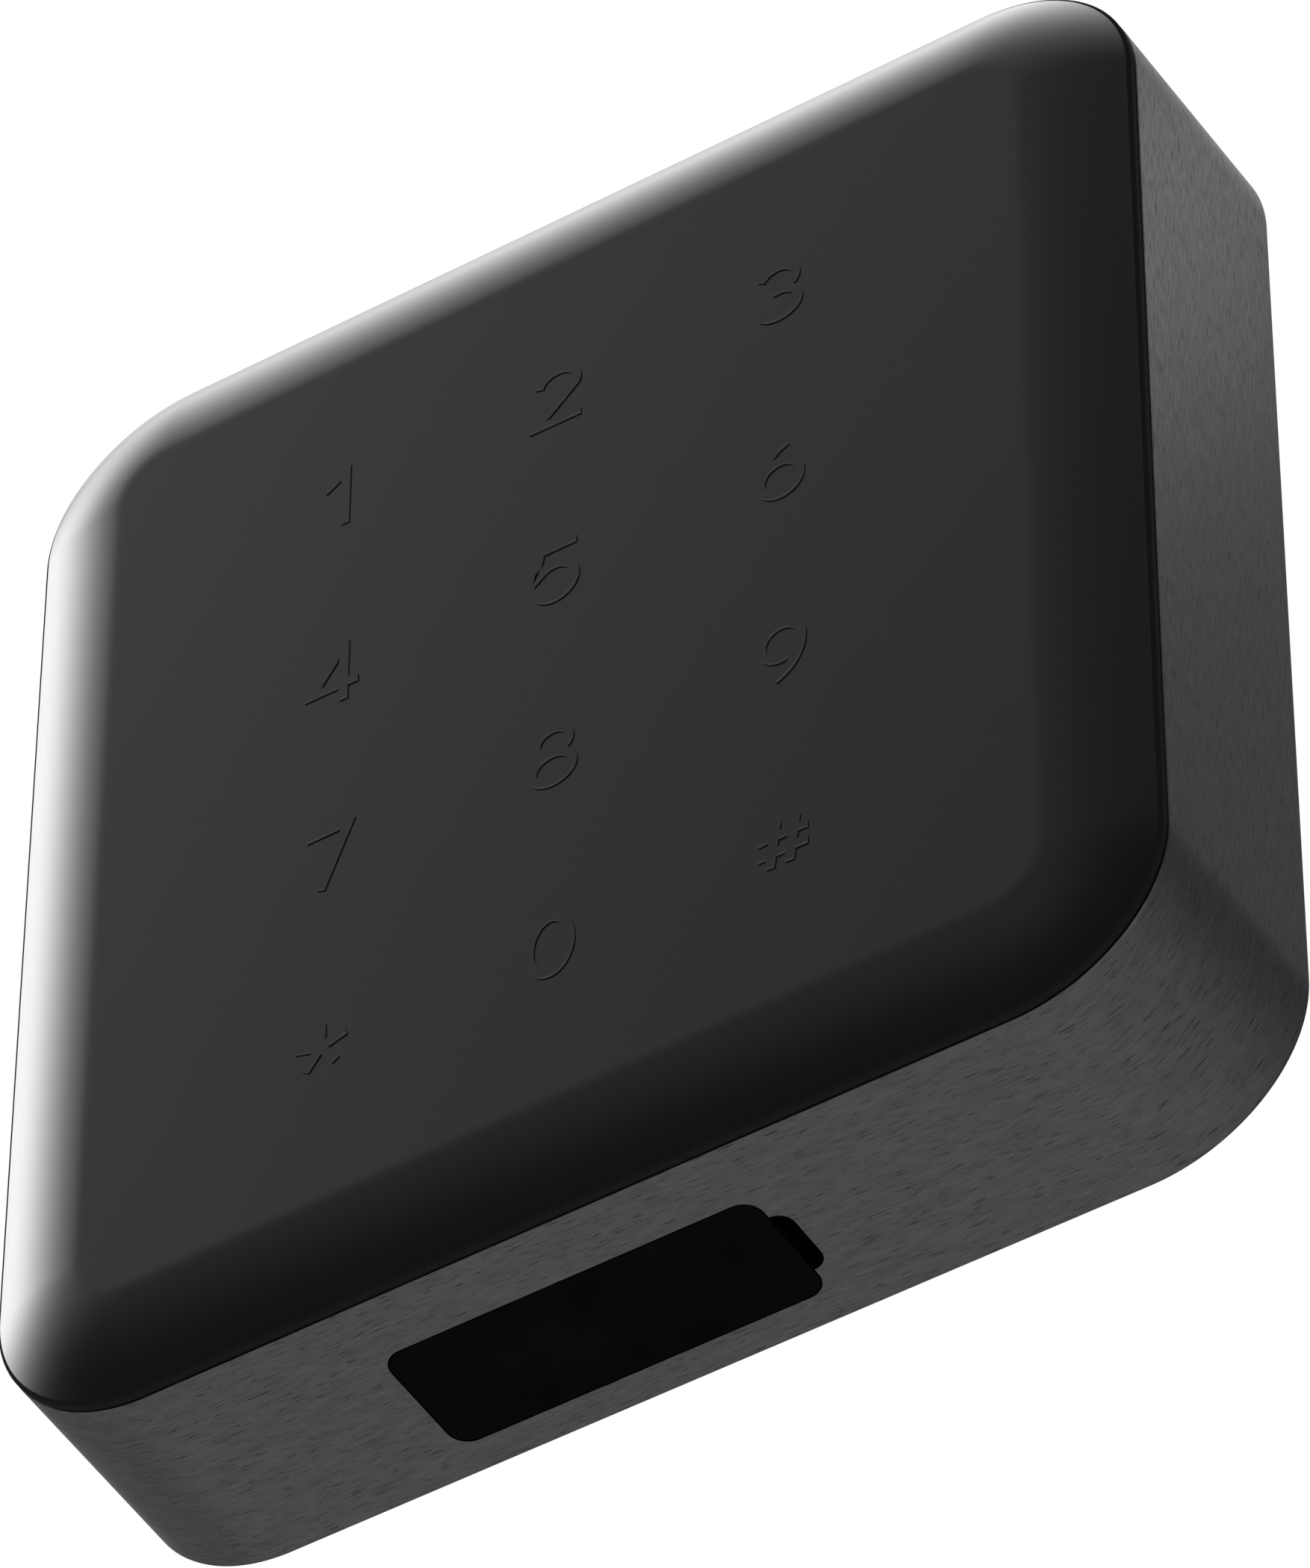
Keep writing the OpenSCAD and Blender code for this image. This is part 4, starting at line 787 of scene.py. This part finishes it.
# the bend of a lead starts and ends at these shares of its reach
BEND_START, BEND_END = 0.35, 0.55
PROCESSOR_W = 10 * MM
LEAD_MARGIN = 0.6 * MM
processor_x, processor_z = -4 * MM, board_low.z + 24 * MM
lead_mesh = bmesh.new()
lead_path = (
    (0, LEAD_RISE), (BEND_START * LEAD_REACH, LEAD_RISE),
    (BEND_END * LEAD_REACH, LEAD_T), (LEAD_REACH, LEAD_T),
)
count = int((PROCESSOR_W - 2 * LEAD_MARGIN) / LEAD_PITCH)
for side in range(4):
    turn = Matrix.Rotation(math.radians(90 * side), 4, "Y")
    for i in range(count):
        shift = (i - (count - 1) / 2) * LEAD_PITCH
        corners = []
        for out, rise in lead_path:
            ring = []
            for across, lift in ((-1, 0), (1, 0), (1, -1), (-1, -1)):
                point = turn @ Vector((PROCESSOR_W / 2 + out, 0, shift + across * LEAD_W / 2))
                y = board_low.y - max(rise + lift * LEAD_T, 0)
                ring.append(lead_mesh.verts.new((processor_x + point.x, y, processor_z + point.z)))
            corners.append(ring)
        for a, b in zip(corners, corners[1:]):
            for k in range(4):
                m = (k + 1) % 4
                lead_mesh.faces.new((a[k], b[k], b[m], a[m]))
        lead_mesh.faces.new(corners[0])
        lead_mesh.faces.new(corners[-1])
finish_mesh("processor_leads", lead_mesh, "unit", "tin_plate", tin_plate)

# ---- Antenna, fixed and sliding contacts ----
# All stamped from brass sheet and flashed with nickel, so they are a pale warm metal.
# Draw marks run along the sheet, and patches of it are rubbed brighter.
contact_brass, tree, place = start_finish("nickel_flashed_brass")
drawn = add(tree, "ShaderNodeVectorMath", {0: place, 1: (per_mm(0.1), per_mm(0.1), per_mm(2))},
            operation="MULTIPLY")
marks = add(tree, "ShaderNodeTexNoise", {"Vector": drawn.outputs[0], "Scale": 1, "Detail": 2})
rubbed = add(tree, "ShaderNodeTexNoise", {"Vector": place, "Scale": per_mm(2.5), "Detail": 3})
bump = add(tree, "ShaderNodeBump", {"Height": marks.outputs["Fac"], "Strength": 0.25, "Distance": 0.01 * MM})
tone = add(
    tree, "ShaderNodeValToRGB", {"Fac": rubbed.outputs["Fac"]},
    stops=((0.35, "#BDA878"), (0.65, "#D3C6A0")))
polish = add(tree, "ShaderNodeValToRGB", {"Fac": rubbed.outputs["Fac"]}, stops=((0.3, 0.38), (0.7, 0.24)))
shader = add(tree, "ShaderNodeBsdfPrincipled", {
    "Base Color": tone.outputs["Color"],
    "Metallic": 1.0,
    "Roughness": polish.outputs["Color"],
    "Normal": bump.outputs["Normal"],
})
add(tree, "ShaderNodeOutputMaterial", {"Surface": shader.outputs["BSDF"]})
for node_name in ("antenna", "fixed_contacts", "tray_contacts", "return_strip"):
    wear(node_name, contact_brass)

# ---- Capacitors ----
# Two aluminium cans in dark shrink sleeves, soldered to the back of the main board.
# The sleeve stops just short of the top, which is bare metal.
_, can_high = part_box("capacitors")
SLEEVE_END = can_high.y - 0.15 * MM
METAL_START = can_high.y - 0.1 * MM
sleeve, tree, place = start_finish("sleeved_aluminium_can")
depth = add(tree, "ShaderNodeSeparateXYZ", {0: place})
top_share = add(tree, "ShaderNodeMapRange", {
    "Value": depth.outputs["Y"], "From Min": SLEEVE_END, "From Max": METAL_START,
})
film = add(tree, "ShaderNodeTexNoise", {"Vector": place, "Scale": per_mm(1.2), "Detail": 3})
tone = add(
    tree, "ShaderNodeValToRGB", {"Fac": film.outputs["Fac"]},
    stops=((0.3, "#232C33"), (0.7, "#2E3942")))
colour = add(tree, "ShaderNodeMix", {
    0: top_share.outputs[0], 6: tone.outputs["Color"], 7: linear("#BFC1C3"),
}, data_type="RGBA")
bump = add(tree, "ShaderNodeBump", {"Height": film.outputs["Fac"], "Strength": 0.2, "Distance": 0.03 * MM})
polish = add(tree, "ShaderNodeValToRGB", {"Fac": film.outputs["Fac"]}, stops=((0.3, 0.26), (0.7, 0.36)))
shader = add(tree, "ShaderNodeBsdfPrincipled", {
    "Base Color": colour.outputs[2],
    "Metallic": top_share.outputs[0],
    "Roughness": polish.outputs["Color"],
    "IOR": 1.54,
    "Normal": bump.outputs["Normal"],
})
add(tree, "ShaderNodeOutputMaterial", {"Surface": shader.outputs["BSDF"]})
wear("capacitors", sleeve)

# ---- Sounder and tamper switch ----
# Small black nylon mouldings on the back of the main board. The switch takes the tamper plunger and spring.
# They are smooth and slightly satin, with faint flow lines from the gate.
black_nylon, tree, place = start_finish("black_nylon")
flow = add(tree, "ShaderNodeTexNoise", {"Vector": place, "Scale": per_mm(2), "Detail": 2, "Distortion": 1.5})
bump = add(tree, "ShaderNodeBump", {"Height": flow.outputs["Fac"], "Strength": 0.15, "Distance": 0.03 * MM})
tone = add(
    tree, "ShaderNodeValToRGB", {"Fac": flow.outputs["Fac"]},
    stops=((0.3, "#141414"), (0.7, "#1E1E1F")))
polish = add(tree, "ShaderNodeValToRGB", {"Fac": flow.outputs["Fac"]}, stops=((0.3, 0.34), (0.7, 0.46)))
shader = add(tree, "ShaderNodeBsdfPrincipled", {
    "Base Color": tone.outputs["Color"],
    "Roughness": polish.outputs["Color"],
    "IOR": 1.53,
    "Normal": bump.outputs["Normal"],
})
add(tree, "ShaderNodeOutputMaterial", {"Surface": shader.outputs["BSDF"]})
wear("sounder", black_nylon)
wear("tamper_switch", black_nylon)

# ---- Ribbon sockets ----
# Two mouldings of natural nylon, one on the main board's front and one on the touch board's back.
# They are ivory and slightly translucent, with a dull moulded skin.
nylon, tree, place = start_finish("natural_nylon")
cloud = add(tree, "ShaderNodeTexNoise", {"Vector": place, "Scale": per_mm(1.5), "Detail": 3})
bump = add(tree, "ShaderNodeBump", {"Height": cloud.outputs["Fac"], "Strength": 0.15, "Distance": 0.03 * MM})
tone = add(
    tree, "ShaderNodeValToRGB", {"Fac": cloud.outputs["Fac"]},
    stops=((0.3, "#CFC8B4"), (0.7, "#DED8C8")))
shader = add(tree, "ShaderNodeBsdfPrincipled", {
    "Base Color": tone.outputs["Color"],
    "Roughness": 0.42,
    "IOR": 1.53,
    "Subsurface Weight": 0.2,
    "Subsurface Scale": 0.6 * MM,
    "Normal": bump.outputs["Normal"],
})
add(tree, "ShaderNodeOutputMaterial", {"Surface": shader.outputs["BSDF"]})
wear("ribbon_sockets", nylon)

# ---- Ribbon cable ----
# Flat tinned conductors on a 1 mm pitch between two polyester films: grey stripes under a clear glossy skin.
# It joins the main board to the touch board, and folds once between the two sockets.
ribbon, tree, place = start_finish("polyester_ribbon")
# at a scale of 1 the bands of a wave texture are this far apart
BAND_UNIT = 2 * math.pi / 20
stripes = add(tree, "ShaderNodeTexWave", {"Vector": place, "Scale": per_mm(1) * BAND_UNIT},
              wave_type="BANDS", bands_direction="X")
crease = add(tree, "ShaderNodeTexNoise", {"Vector": place, "Scale": per_mm(3), "Detail": 2})
bump = add(tree, "ShaderNodeBump", {
    "Height": stripes.outputs["Fac"], "Strength": 0.3, "Distance": 0.05 * MM})
tone = add(
    tree, "ShaderNodeValToRGB", {"Fac": stripes.outputs["Fac"]},
    stops=((0.35, "#E3E3E1"), (0.55, "#9FA1A3")))
polish = add(tree, "ShaderNodeValToRGB", {"Fac": crease.outputs["Fac"]}, stops=((0.3, 0.2), (0.7, 0.34)))
shader = add(tree, "ShaderNodeBsdfPrincipled", {
    "Base Color": tone.outputs["Color"],
    "Roughness": polish.outputs["Color"],
    "IOR": 1.6,
    "Normal": bump.outputs["Normal"],
})
add(tree, "ShaderNodeOutputMaterial", {"Surface": shader.outputs["BSDF"]})
wear("ribbon_cable", ribbon)

# ---- Tamper plunger ----
# Turned from natural acetal: white, waxy and a little translucent, with a fine grain from the tool.
# The wall presses it in, and its spring pushes it out when the keypad is taken off.
acetal, tree, place = start_finish("natural_acetal")
tool_grain = add(tree, "ShaderNodeTexNoise", {"Vector": place, "Scale": per_mm(0.2), "Detail": 1})
bump = add(tree, "ShaderNodeBump", {
    "Height": tool_grain.outputs["Fac"], "Strength": 0.15, "Distance": 0.01 * MM})
tone = add(
    tree, "ShaderNodeValToRGB", {"Fac": tool_grain.outputs["Fac"]},
    stops=((0.3, "#DCDCD6"), (0.7, "#E6E6E1")))
shader = add(tree, "ShaderNodeBsdfPrincipled", {
    "Base Color": tone.outputs["Color"],
    "Roughness": 0.34,
    "IOR": 1.48,
    "Subsurface Weight": 0.25,
    "Subsurface Scale": 0.8 * MM,
    "Normal": bump.outputs["Normal"],
})
add(tree, "ShaderNodeOutputMaterial", {"Surface": shader.outputs["BSDF"]})
wear("tamper_plunger", acetal)

# ---- Battery drawer ----
# The tray is the same spark-textured ABS. The hatch plate that closes it is moulded in a deep black with a
# finer matt grain that gives back almost no light. It sits flush in the housing's bottom wall.
wear("battery_tray", black_abs)
hatch_abs, tree, place = start_finish("matt_black_abs")
grain = add(tree, "ShaderNodeTexNoise", {
    "Vector": place, "Scale": per_mm(0.2), "Detail": 3, "Roughness": 0.7})
rub = add(tree, "ShaderNodeTexNoise", {"Vector": place, "Scale": per_mm(6), "Detail": 3})
bump = add(tree, "ShaderNodeBump", {"Height": grain.outputs["Fac"], "Strength": 0.4, "Distance": 0.02 * MM})
tone = add(
    tree, "ShaderNodeValToRGB", {"Fac": rub.outputs["Fac"]},
    stops=((0.3, "#020202"), (0.7, "#050505")))
polish = add(tree, "ShaderNodeValToRGB", {"Fac": grain.outputs["Fac"]}, stops=((0.3, 0.7), (0.7, 0.6)))
shader = add(tree, "ShaderNodeBsdfPrincipled", {
    "Base Color": tone.outputs["Color"],
    "Roughness": polish.outputs["Color"],
    "IOR": 1.5,
    "Specular IOR Level": 0.01,
    "Normal": bump.outputs["Normal"],
})
add(tree, "ShaderNodeOutputMaterial", {"Surface": shader.outputs["BSDF"]})
wear("hatch_plate", hatch_abs)

# ---- Cells ----
# Three unmarked AAA cells: a steel can in a shrunk film jacket, slate grey with a pale band towards the nub.
# The ends are bare nickel-plated steel. The middle cell stands the other way up.
cell_low, cell_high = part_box("cells")
CELL_PITCH = 10.75 * MM
CELL_L = 44.5 * MM
jacket, tree, place = start_finish("cell_jacket_film")
spot = add(tree, "ShaderNodeSeparateXYZ", {0: place})
middle_x = (cell_low.x + cell_high.x) / 2
off_middle = add(tree, "ShaderNodeMath", {0: spot.outputs["X"], 1: middle_x}, operation="SUBTRACT")
distance = add(tree, "ShaderNodeMath", {0: off_middle.outputs[0]}, operation="ABSOLUTE")
is_outer = add(tree, "ShaderNodeMath", {0: distance.outputs[0], 1: CELL_PITCH / 2}, operation="GREATER_THAN")
upright = add(tree, "ShaderNodeMapRange", {
    "Value": spot.outputs["Z"], "From Min": cell_high.z - CELL_L, "From Max": cell_high.z})
turned_over = add(tree, "ShaderNodeMapRange", {
    "Value": spot.outputs["Z"], "From Min": cell_low.z + CELL_L, "From Max": cell_low.z})
along = add(tree, "ShaderNodeMix", {
    0: is_outer.outputs[0], 2: turned_over.outputs[0], 3: upright.outputs[0]})
film = add(tree, "ShaderNodeValToRGB", {"Fac": along.outputs[0]}, stops=(
    (0, "#B9BABB"), (0.024, "#5B656D"), (0.80, "#C6CACD"), (0.955, "#5B656D"), (0.962, "#BDBEBF")))
film.color_ramp.interpolation = "CONSTANT"
bare = add(tree, "ShaderNodeValToRGB", {"Fac": along.outputs[0]}, stops=((0, 1), (0.024, 0), (0.962, 1)))
bare.color_ramp.interpolation = "CONSTANT"
sheen = add(tree, "ShaderNodeMath", {0: bare.outputs["Color"], 1: 0.4}, operation="MAXIMUM")
scuff = add(tree, "ShaderNodeTexNoise", {"Vector": place, "Scale": per_mm(2), "Detail": 4})
bump = add(tree, "ShaderNodeBump", {"Height": scuff.outputs["Fac"], "Strength": 0.1, "Distance": 0.02 * MM})
polish = add(tree, "ShaderNodeValToRGB", {"Fac": scuff.outputs["Fac"]}, stops=((0.3, 0.22), (0.7, 0.34)))
shader = add(tree, "ShaderNodeBsdfPrincipled", {
    "Base Color": film.outputs["Color"],
    "Metallic": sheen.outputs[0],
    "Roughness": polish.outputs["Color"],
    "Normal": bump.outputs["Normal"],
})
add(tree, "ShaderNodeOutputMaterial", {"Surface": shader.outputs["BSDF"]})
wear("cells", jacket)

# ---- Springs ----
# Cold-coiled from nickel-plated music wire: cone springs at the cells' flat ends, and a straight one for the
# tamper plunger. The wire is smooth, with a faint grain from drawing.
spring_steel, tree, place = start_finish("nickel_plated_wire")
draw = add(tree, "ShaderNodeTexNoise", {"Vector": place, "Scale": per_mm(0.1), "Detail": 2})
film = add(tree, "ShaderNodeTexNoise", {"Vector": place, "Scale": per_mm(1), "Detail": 2})
bump = add(tree, "ShaderNodeBump", {"Height": draw.outputs["Fac"], "Strength": 0.2, "Distance": 0.01 * MM})
tone = add(
    tree, "ShaderNodeValToRGB", {"Fac": film.outputs["Fac"]},
    stops=((0.3, "#AEACA8"), (0.7, "#C6C4BF")))
polish = add(tree, "ShaderNodeValToRGB", {"Fac": film.outputs["Fac"]}, stops=((0.3, 0.2), (0.7, 0.32)))
shader = add(tree, "ShaderNodeBsdfPrincipled", {
    "Base Color": tone.outputs["Color"],
    "Metallic": 1.0,
    "Roughness": polish.outputs["Color"],
    "Normal": bump.outputs["Normal"],
})
add(tree, "ShaderNodeOutputMaterial", {"Surface": shader.outputs["BSDF"]})
wear("tamper_spring", spring_steel)
WIRE_R = 0.25 * MM
WIDE_R = 2.8 * MM
TIP_R = 1.6 * MM
TURNS = 4
TURN_STEPS = 40
WIRE_SIDES = 12


def coil_mesh(mesh, centre_x, centre_y, low_z, high_z, low_r, high_r):
    """Round wire along a conical helix that stands between two heights."""
    count = TURNS * TURN_STEPS
    rings = []
    for i in range(count + 1):
        t = i / count
        a = 2 * math.pi * TURNS * t
        out = Vector((math.cos(a), math.sin(a), 0))
        r = low_r + (high_r - low_r) * t
        z = low_z + WIRE_R + (high_z - low_z - 2 * WIRE_R) * t
        middle = Vector((centre_x, centre_y, z)) + out * r
        rings.append([
            mesh.verts.new(middle + WIRE_R * (out * math.cos(b) + Vector((0, 0, 1)) * math.sin(b)))
            for b in (2 * math.pi * k / WIRE_SIDES for k in range(WIRE_SIDES))
        ])
    for a, b in zip(rings, rings[1:]):
        for k in range(WIRE_SIDES):
            m = (k + 1) % WIRE_SIDES
            mesh.faces.new((a[k], b[k], b[m], a[m]))
    mesh.faces.new(rings[0])
    mesh.faces.new(rings[-1])


cell_y = (cell_low.y + cell_high.y) / 2
for node_name, body, places, low_r, high_r in (
    ("tray_springs", "drawer", (-CELL_PITCH, CELL_PITCH), WIDE_R, TIP_R),
    ("fixed_spring", "unit", (0,), TIP_R, WIDE_R),
):
    low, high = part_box(node_name)
    coils = bmesh.new()
    for shift in places:
        coil_mesh(coils, middle_x + shift, cell_y, low.z, high.z, low_r, high_r)
    piece = finish_mesh(node_name + "_wire", coils, body, "spring_steel", spring_steel, sharp=60)
    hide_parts(node_name)

# ---- Studio ----
# Camera below and to the right of the keypad, looking up at it as it hangs on a wall that isn't drawn.
# Plain soft light comes from soft boxes all round, one small lamp and a white sheet behind.
AZIMUTH = math.radians(32.4254)
ELEVATION = math.radians(-45.9957)
ROLL = math.radians(0.2795)
# the camera stands back from the middle of the seam, and is shifted to its own right and down
DISTANCE = 891.463 * MM
SHIFT_X = 6.37 * MM
SHIFT_Y = -7.6957 * MM
away = Vector((
    -math.sin(AZIMUTH) * math.cos(ELEVATION), math.cos(AZIMUTH) * math.cos(ELEVATION), -math.sin(ELEVATION)))
level = Vector((math.cos(AZIMUTH), math.sin(AZIMUTH), 0))
raised = level.cross(away)
camera_x = level * math.cos(ROLL) + raised * math.sin(ROLL)
camera_y = raised * math.cos(ROLL) - level * math.sin(ROLL)
aim = Vector((0, SEAM_Y, 0))
eye = aim + camera_x * SHIFT_X + camera_y * SHIFT_Y - away * DISTANCE
camera_data = bpy.data.cameras.new("camera")
camera_data.sensor_width = 36
camera_data.lens = 249.53
camera_data.clip_start = 0.01
camera = bpy.data.objects.new("camera", camera_data)
camera.matrix_world = Matrix.Translation(eye) @ Matrix((camera_x, camera_y, -away)).transposed().to_4x4()
bpy.context.scene.collection.objects.link(camera)
bpy.context.scene.camera = camera

# A plain pale floor, well below the keypad.
FLOOR_Z = -1.1
FLOOR_HALF = 2.0
floor_mesh = bmesh.new()
floor_mesh.faces.new([
    floor_mesh.verts.new((x * FLOOR_HALF, y * FLOOR_HALF, FLOOR_Z))
    for x, y in ((-1, -1), (1, -1), (1, 1), (-1, 1))
])
pale_floor, tree, place = start_finish("pale_studio_floor")
wash = add(tree, "ShaderNodeTexNoise", {"Vector": place, "Scale": 2.5, "Detail": 3})
tone = add(
    tree, "ShaderNodeValToRGB", {"Fac": wash.outputs["Fac"]},
    stops=((0.3, "#E4E4E3"), (0.7, "#E8E8E7")))
shader = add(tree, "ShaderNodeBsdfPrincipled", {
    "Base Color": tone.outputs["Color"],
    "Roughness": 0.8,
    "IOR": 1.45,
})
add(tree, "ShaderNodeOutputMaterial", {"Surface": shader.outputs["BSDF"]})
floor_data = bpy.data.meshes.new("studio_floor")
floor_mesh.to_mesh(floor_data)
floor_mesh.free()
floor_data.materials.append(pale_floor)
floor = bpy.data.objects.new("studio_floor", floor_data)
bpy.context.scene.collection.objects.link(floor)

# One small soft lamp above and to the right of the keypad, a little behind it, lights its right side.
LAMP_SIZE = 0.04
LAMP_RADIANCE = 2.3
lamp_data = bpy.data.lights.new("side_lamp", "AREA")
lamp_data.shape = "SQUARE"
lamp_data.size = LAMP_SIZE
lamp_data.energy = LAMP_RADIANCE * math.pi * LAMP_SIZE**2
lamp = bpy.data.objects.new("side_lamp", lamp_data)
lamp.location = Vector((104, 35, 105)) * MM
lit_spot = Vector((HALF_W, -10 * MM, 45 * MM))
lamp.rotation_euler = (lit_spot - lamp.location).to_track_quat("-Z", "Y").to_euler()
lamp.visible_camera = False
bpy.context.scene.collection.objects.link(lamp)

# The soft light round the keypad: where each soft box lies, how tightly it is gathered, and its strength.
AMBIENT = 0.1
soft_boxes = (
    ((-0.76, -0.14, 0.63), 19, 5.8),
    ((-0.05, 0.13, 0.99), 9, 2.85),
    ((-0.15, 0.55, 0.82), 25, 0.9),
    ((-0.24, -0.85, 0.46), 21, 0.2),
    ((0.88, 0.24, -0.42), 10, 2.0),
    ((0.70, 0.59, 0.35), 22, 0.45),
    ((-0.17, 0.92, -0.35), 8, 0.9),
    ((-0.95, 0.20, -0.10), 10, 1.45),
)
studio = bpy.data.worlds.new("studio")
studio.use_nodes = True
bpy.context.scene.world = studio
tree = studio.node_tree
tree.nodes.clear()
toward = add(tree, "ShaderNodeTexCoord").outputs["Generated"]
total = AMBIENT
for direction, gathered, strength in soft_boxes:
    cosine = add(tree, "ShaderNodeVectorMath", {0: toward, 1: Vector(direction).normalized()},
                 operation="DOT_PRODUCT")
    power = add(tree, "ShaderNodeMath", {0: cosine.outputs["Value"], 1: gathered, 2: -gathered},
                operation="MULTIPLY_ADD")
    glow = add(tree, "ShaderNodeMath", {0: power.outputs[0]}, operation="EXPONENT")
    total = add(tree, "ShaderNodeMath", {0: glow.outputs[0], 1: strength, 2: total},
                operation="MULTIPLY_ADD").outputs[0]
# Matt surfaces also get an even fill, at which their colours come out about as written.
FILL = 0.6
path = add(tree, "ShaderNodeLightPath")
filled = add(tree, "ShaderNodeMath", {0: path.outputs["Is Diffuse Ray"], 1: FILL, 2: total},
             operation="MULTIPLY_ADD")
lit = add(tree, "ShaderNodeBackground", {"Color": linear("#FFFFFF"), "Strength": filled.outputs[0]})
# The background is white. It is a sheet behind the keypad, and glossy and clear surfaces show it only there.
# It fades out to this cosine off the viewing direction.
SHEET_EDGE = 0.88
seen = add(tree, "ShaderNodeBackground", {"Color": linear("#FFFFFF"), "Strength": 1.0})
off_axis = add(tree, "ShaderNodeVectorMath", {0: toward, 1: away}, operation="DOT_PRODUCT")
sheet = add(tree, "ShaderNodeMapRange", {
    "Value": off_axis.outputs["Value"], "From Min": SHEET_EDGE, "From Max": 1.0})
shown = add(tree, "ShaderNodeMath", {
    0: path.outputs["Is Glossy Ray"], 1: path.outputs["Is Transmission Ray"],
}, operation="MAXIMUM")
white = add(tree, "ShaderNodeMath", {
    0: shown.outputs[0], 1: sheet.outputs[0], 2: path.outputs["Is Camera Ray"],
}, operation="MULTIPLY_ADD", use_clamp=True)
both = add(tree, "ShaderNodeMixShader", {0: white.outputs[0], 1: lit.outputs[0], 2: seen.outputs[0]})
add(tree, "ShaderNodeOutputWorld", {"Surface": both.outputs[0]})
bpy.context.scene.view_settings.view_transform = "Standard"
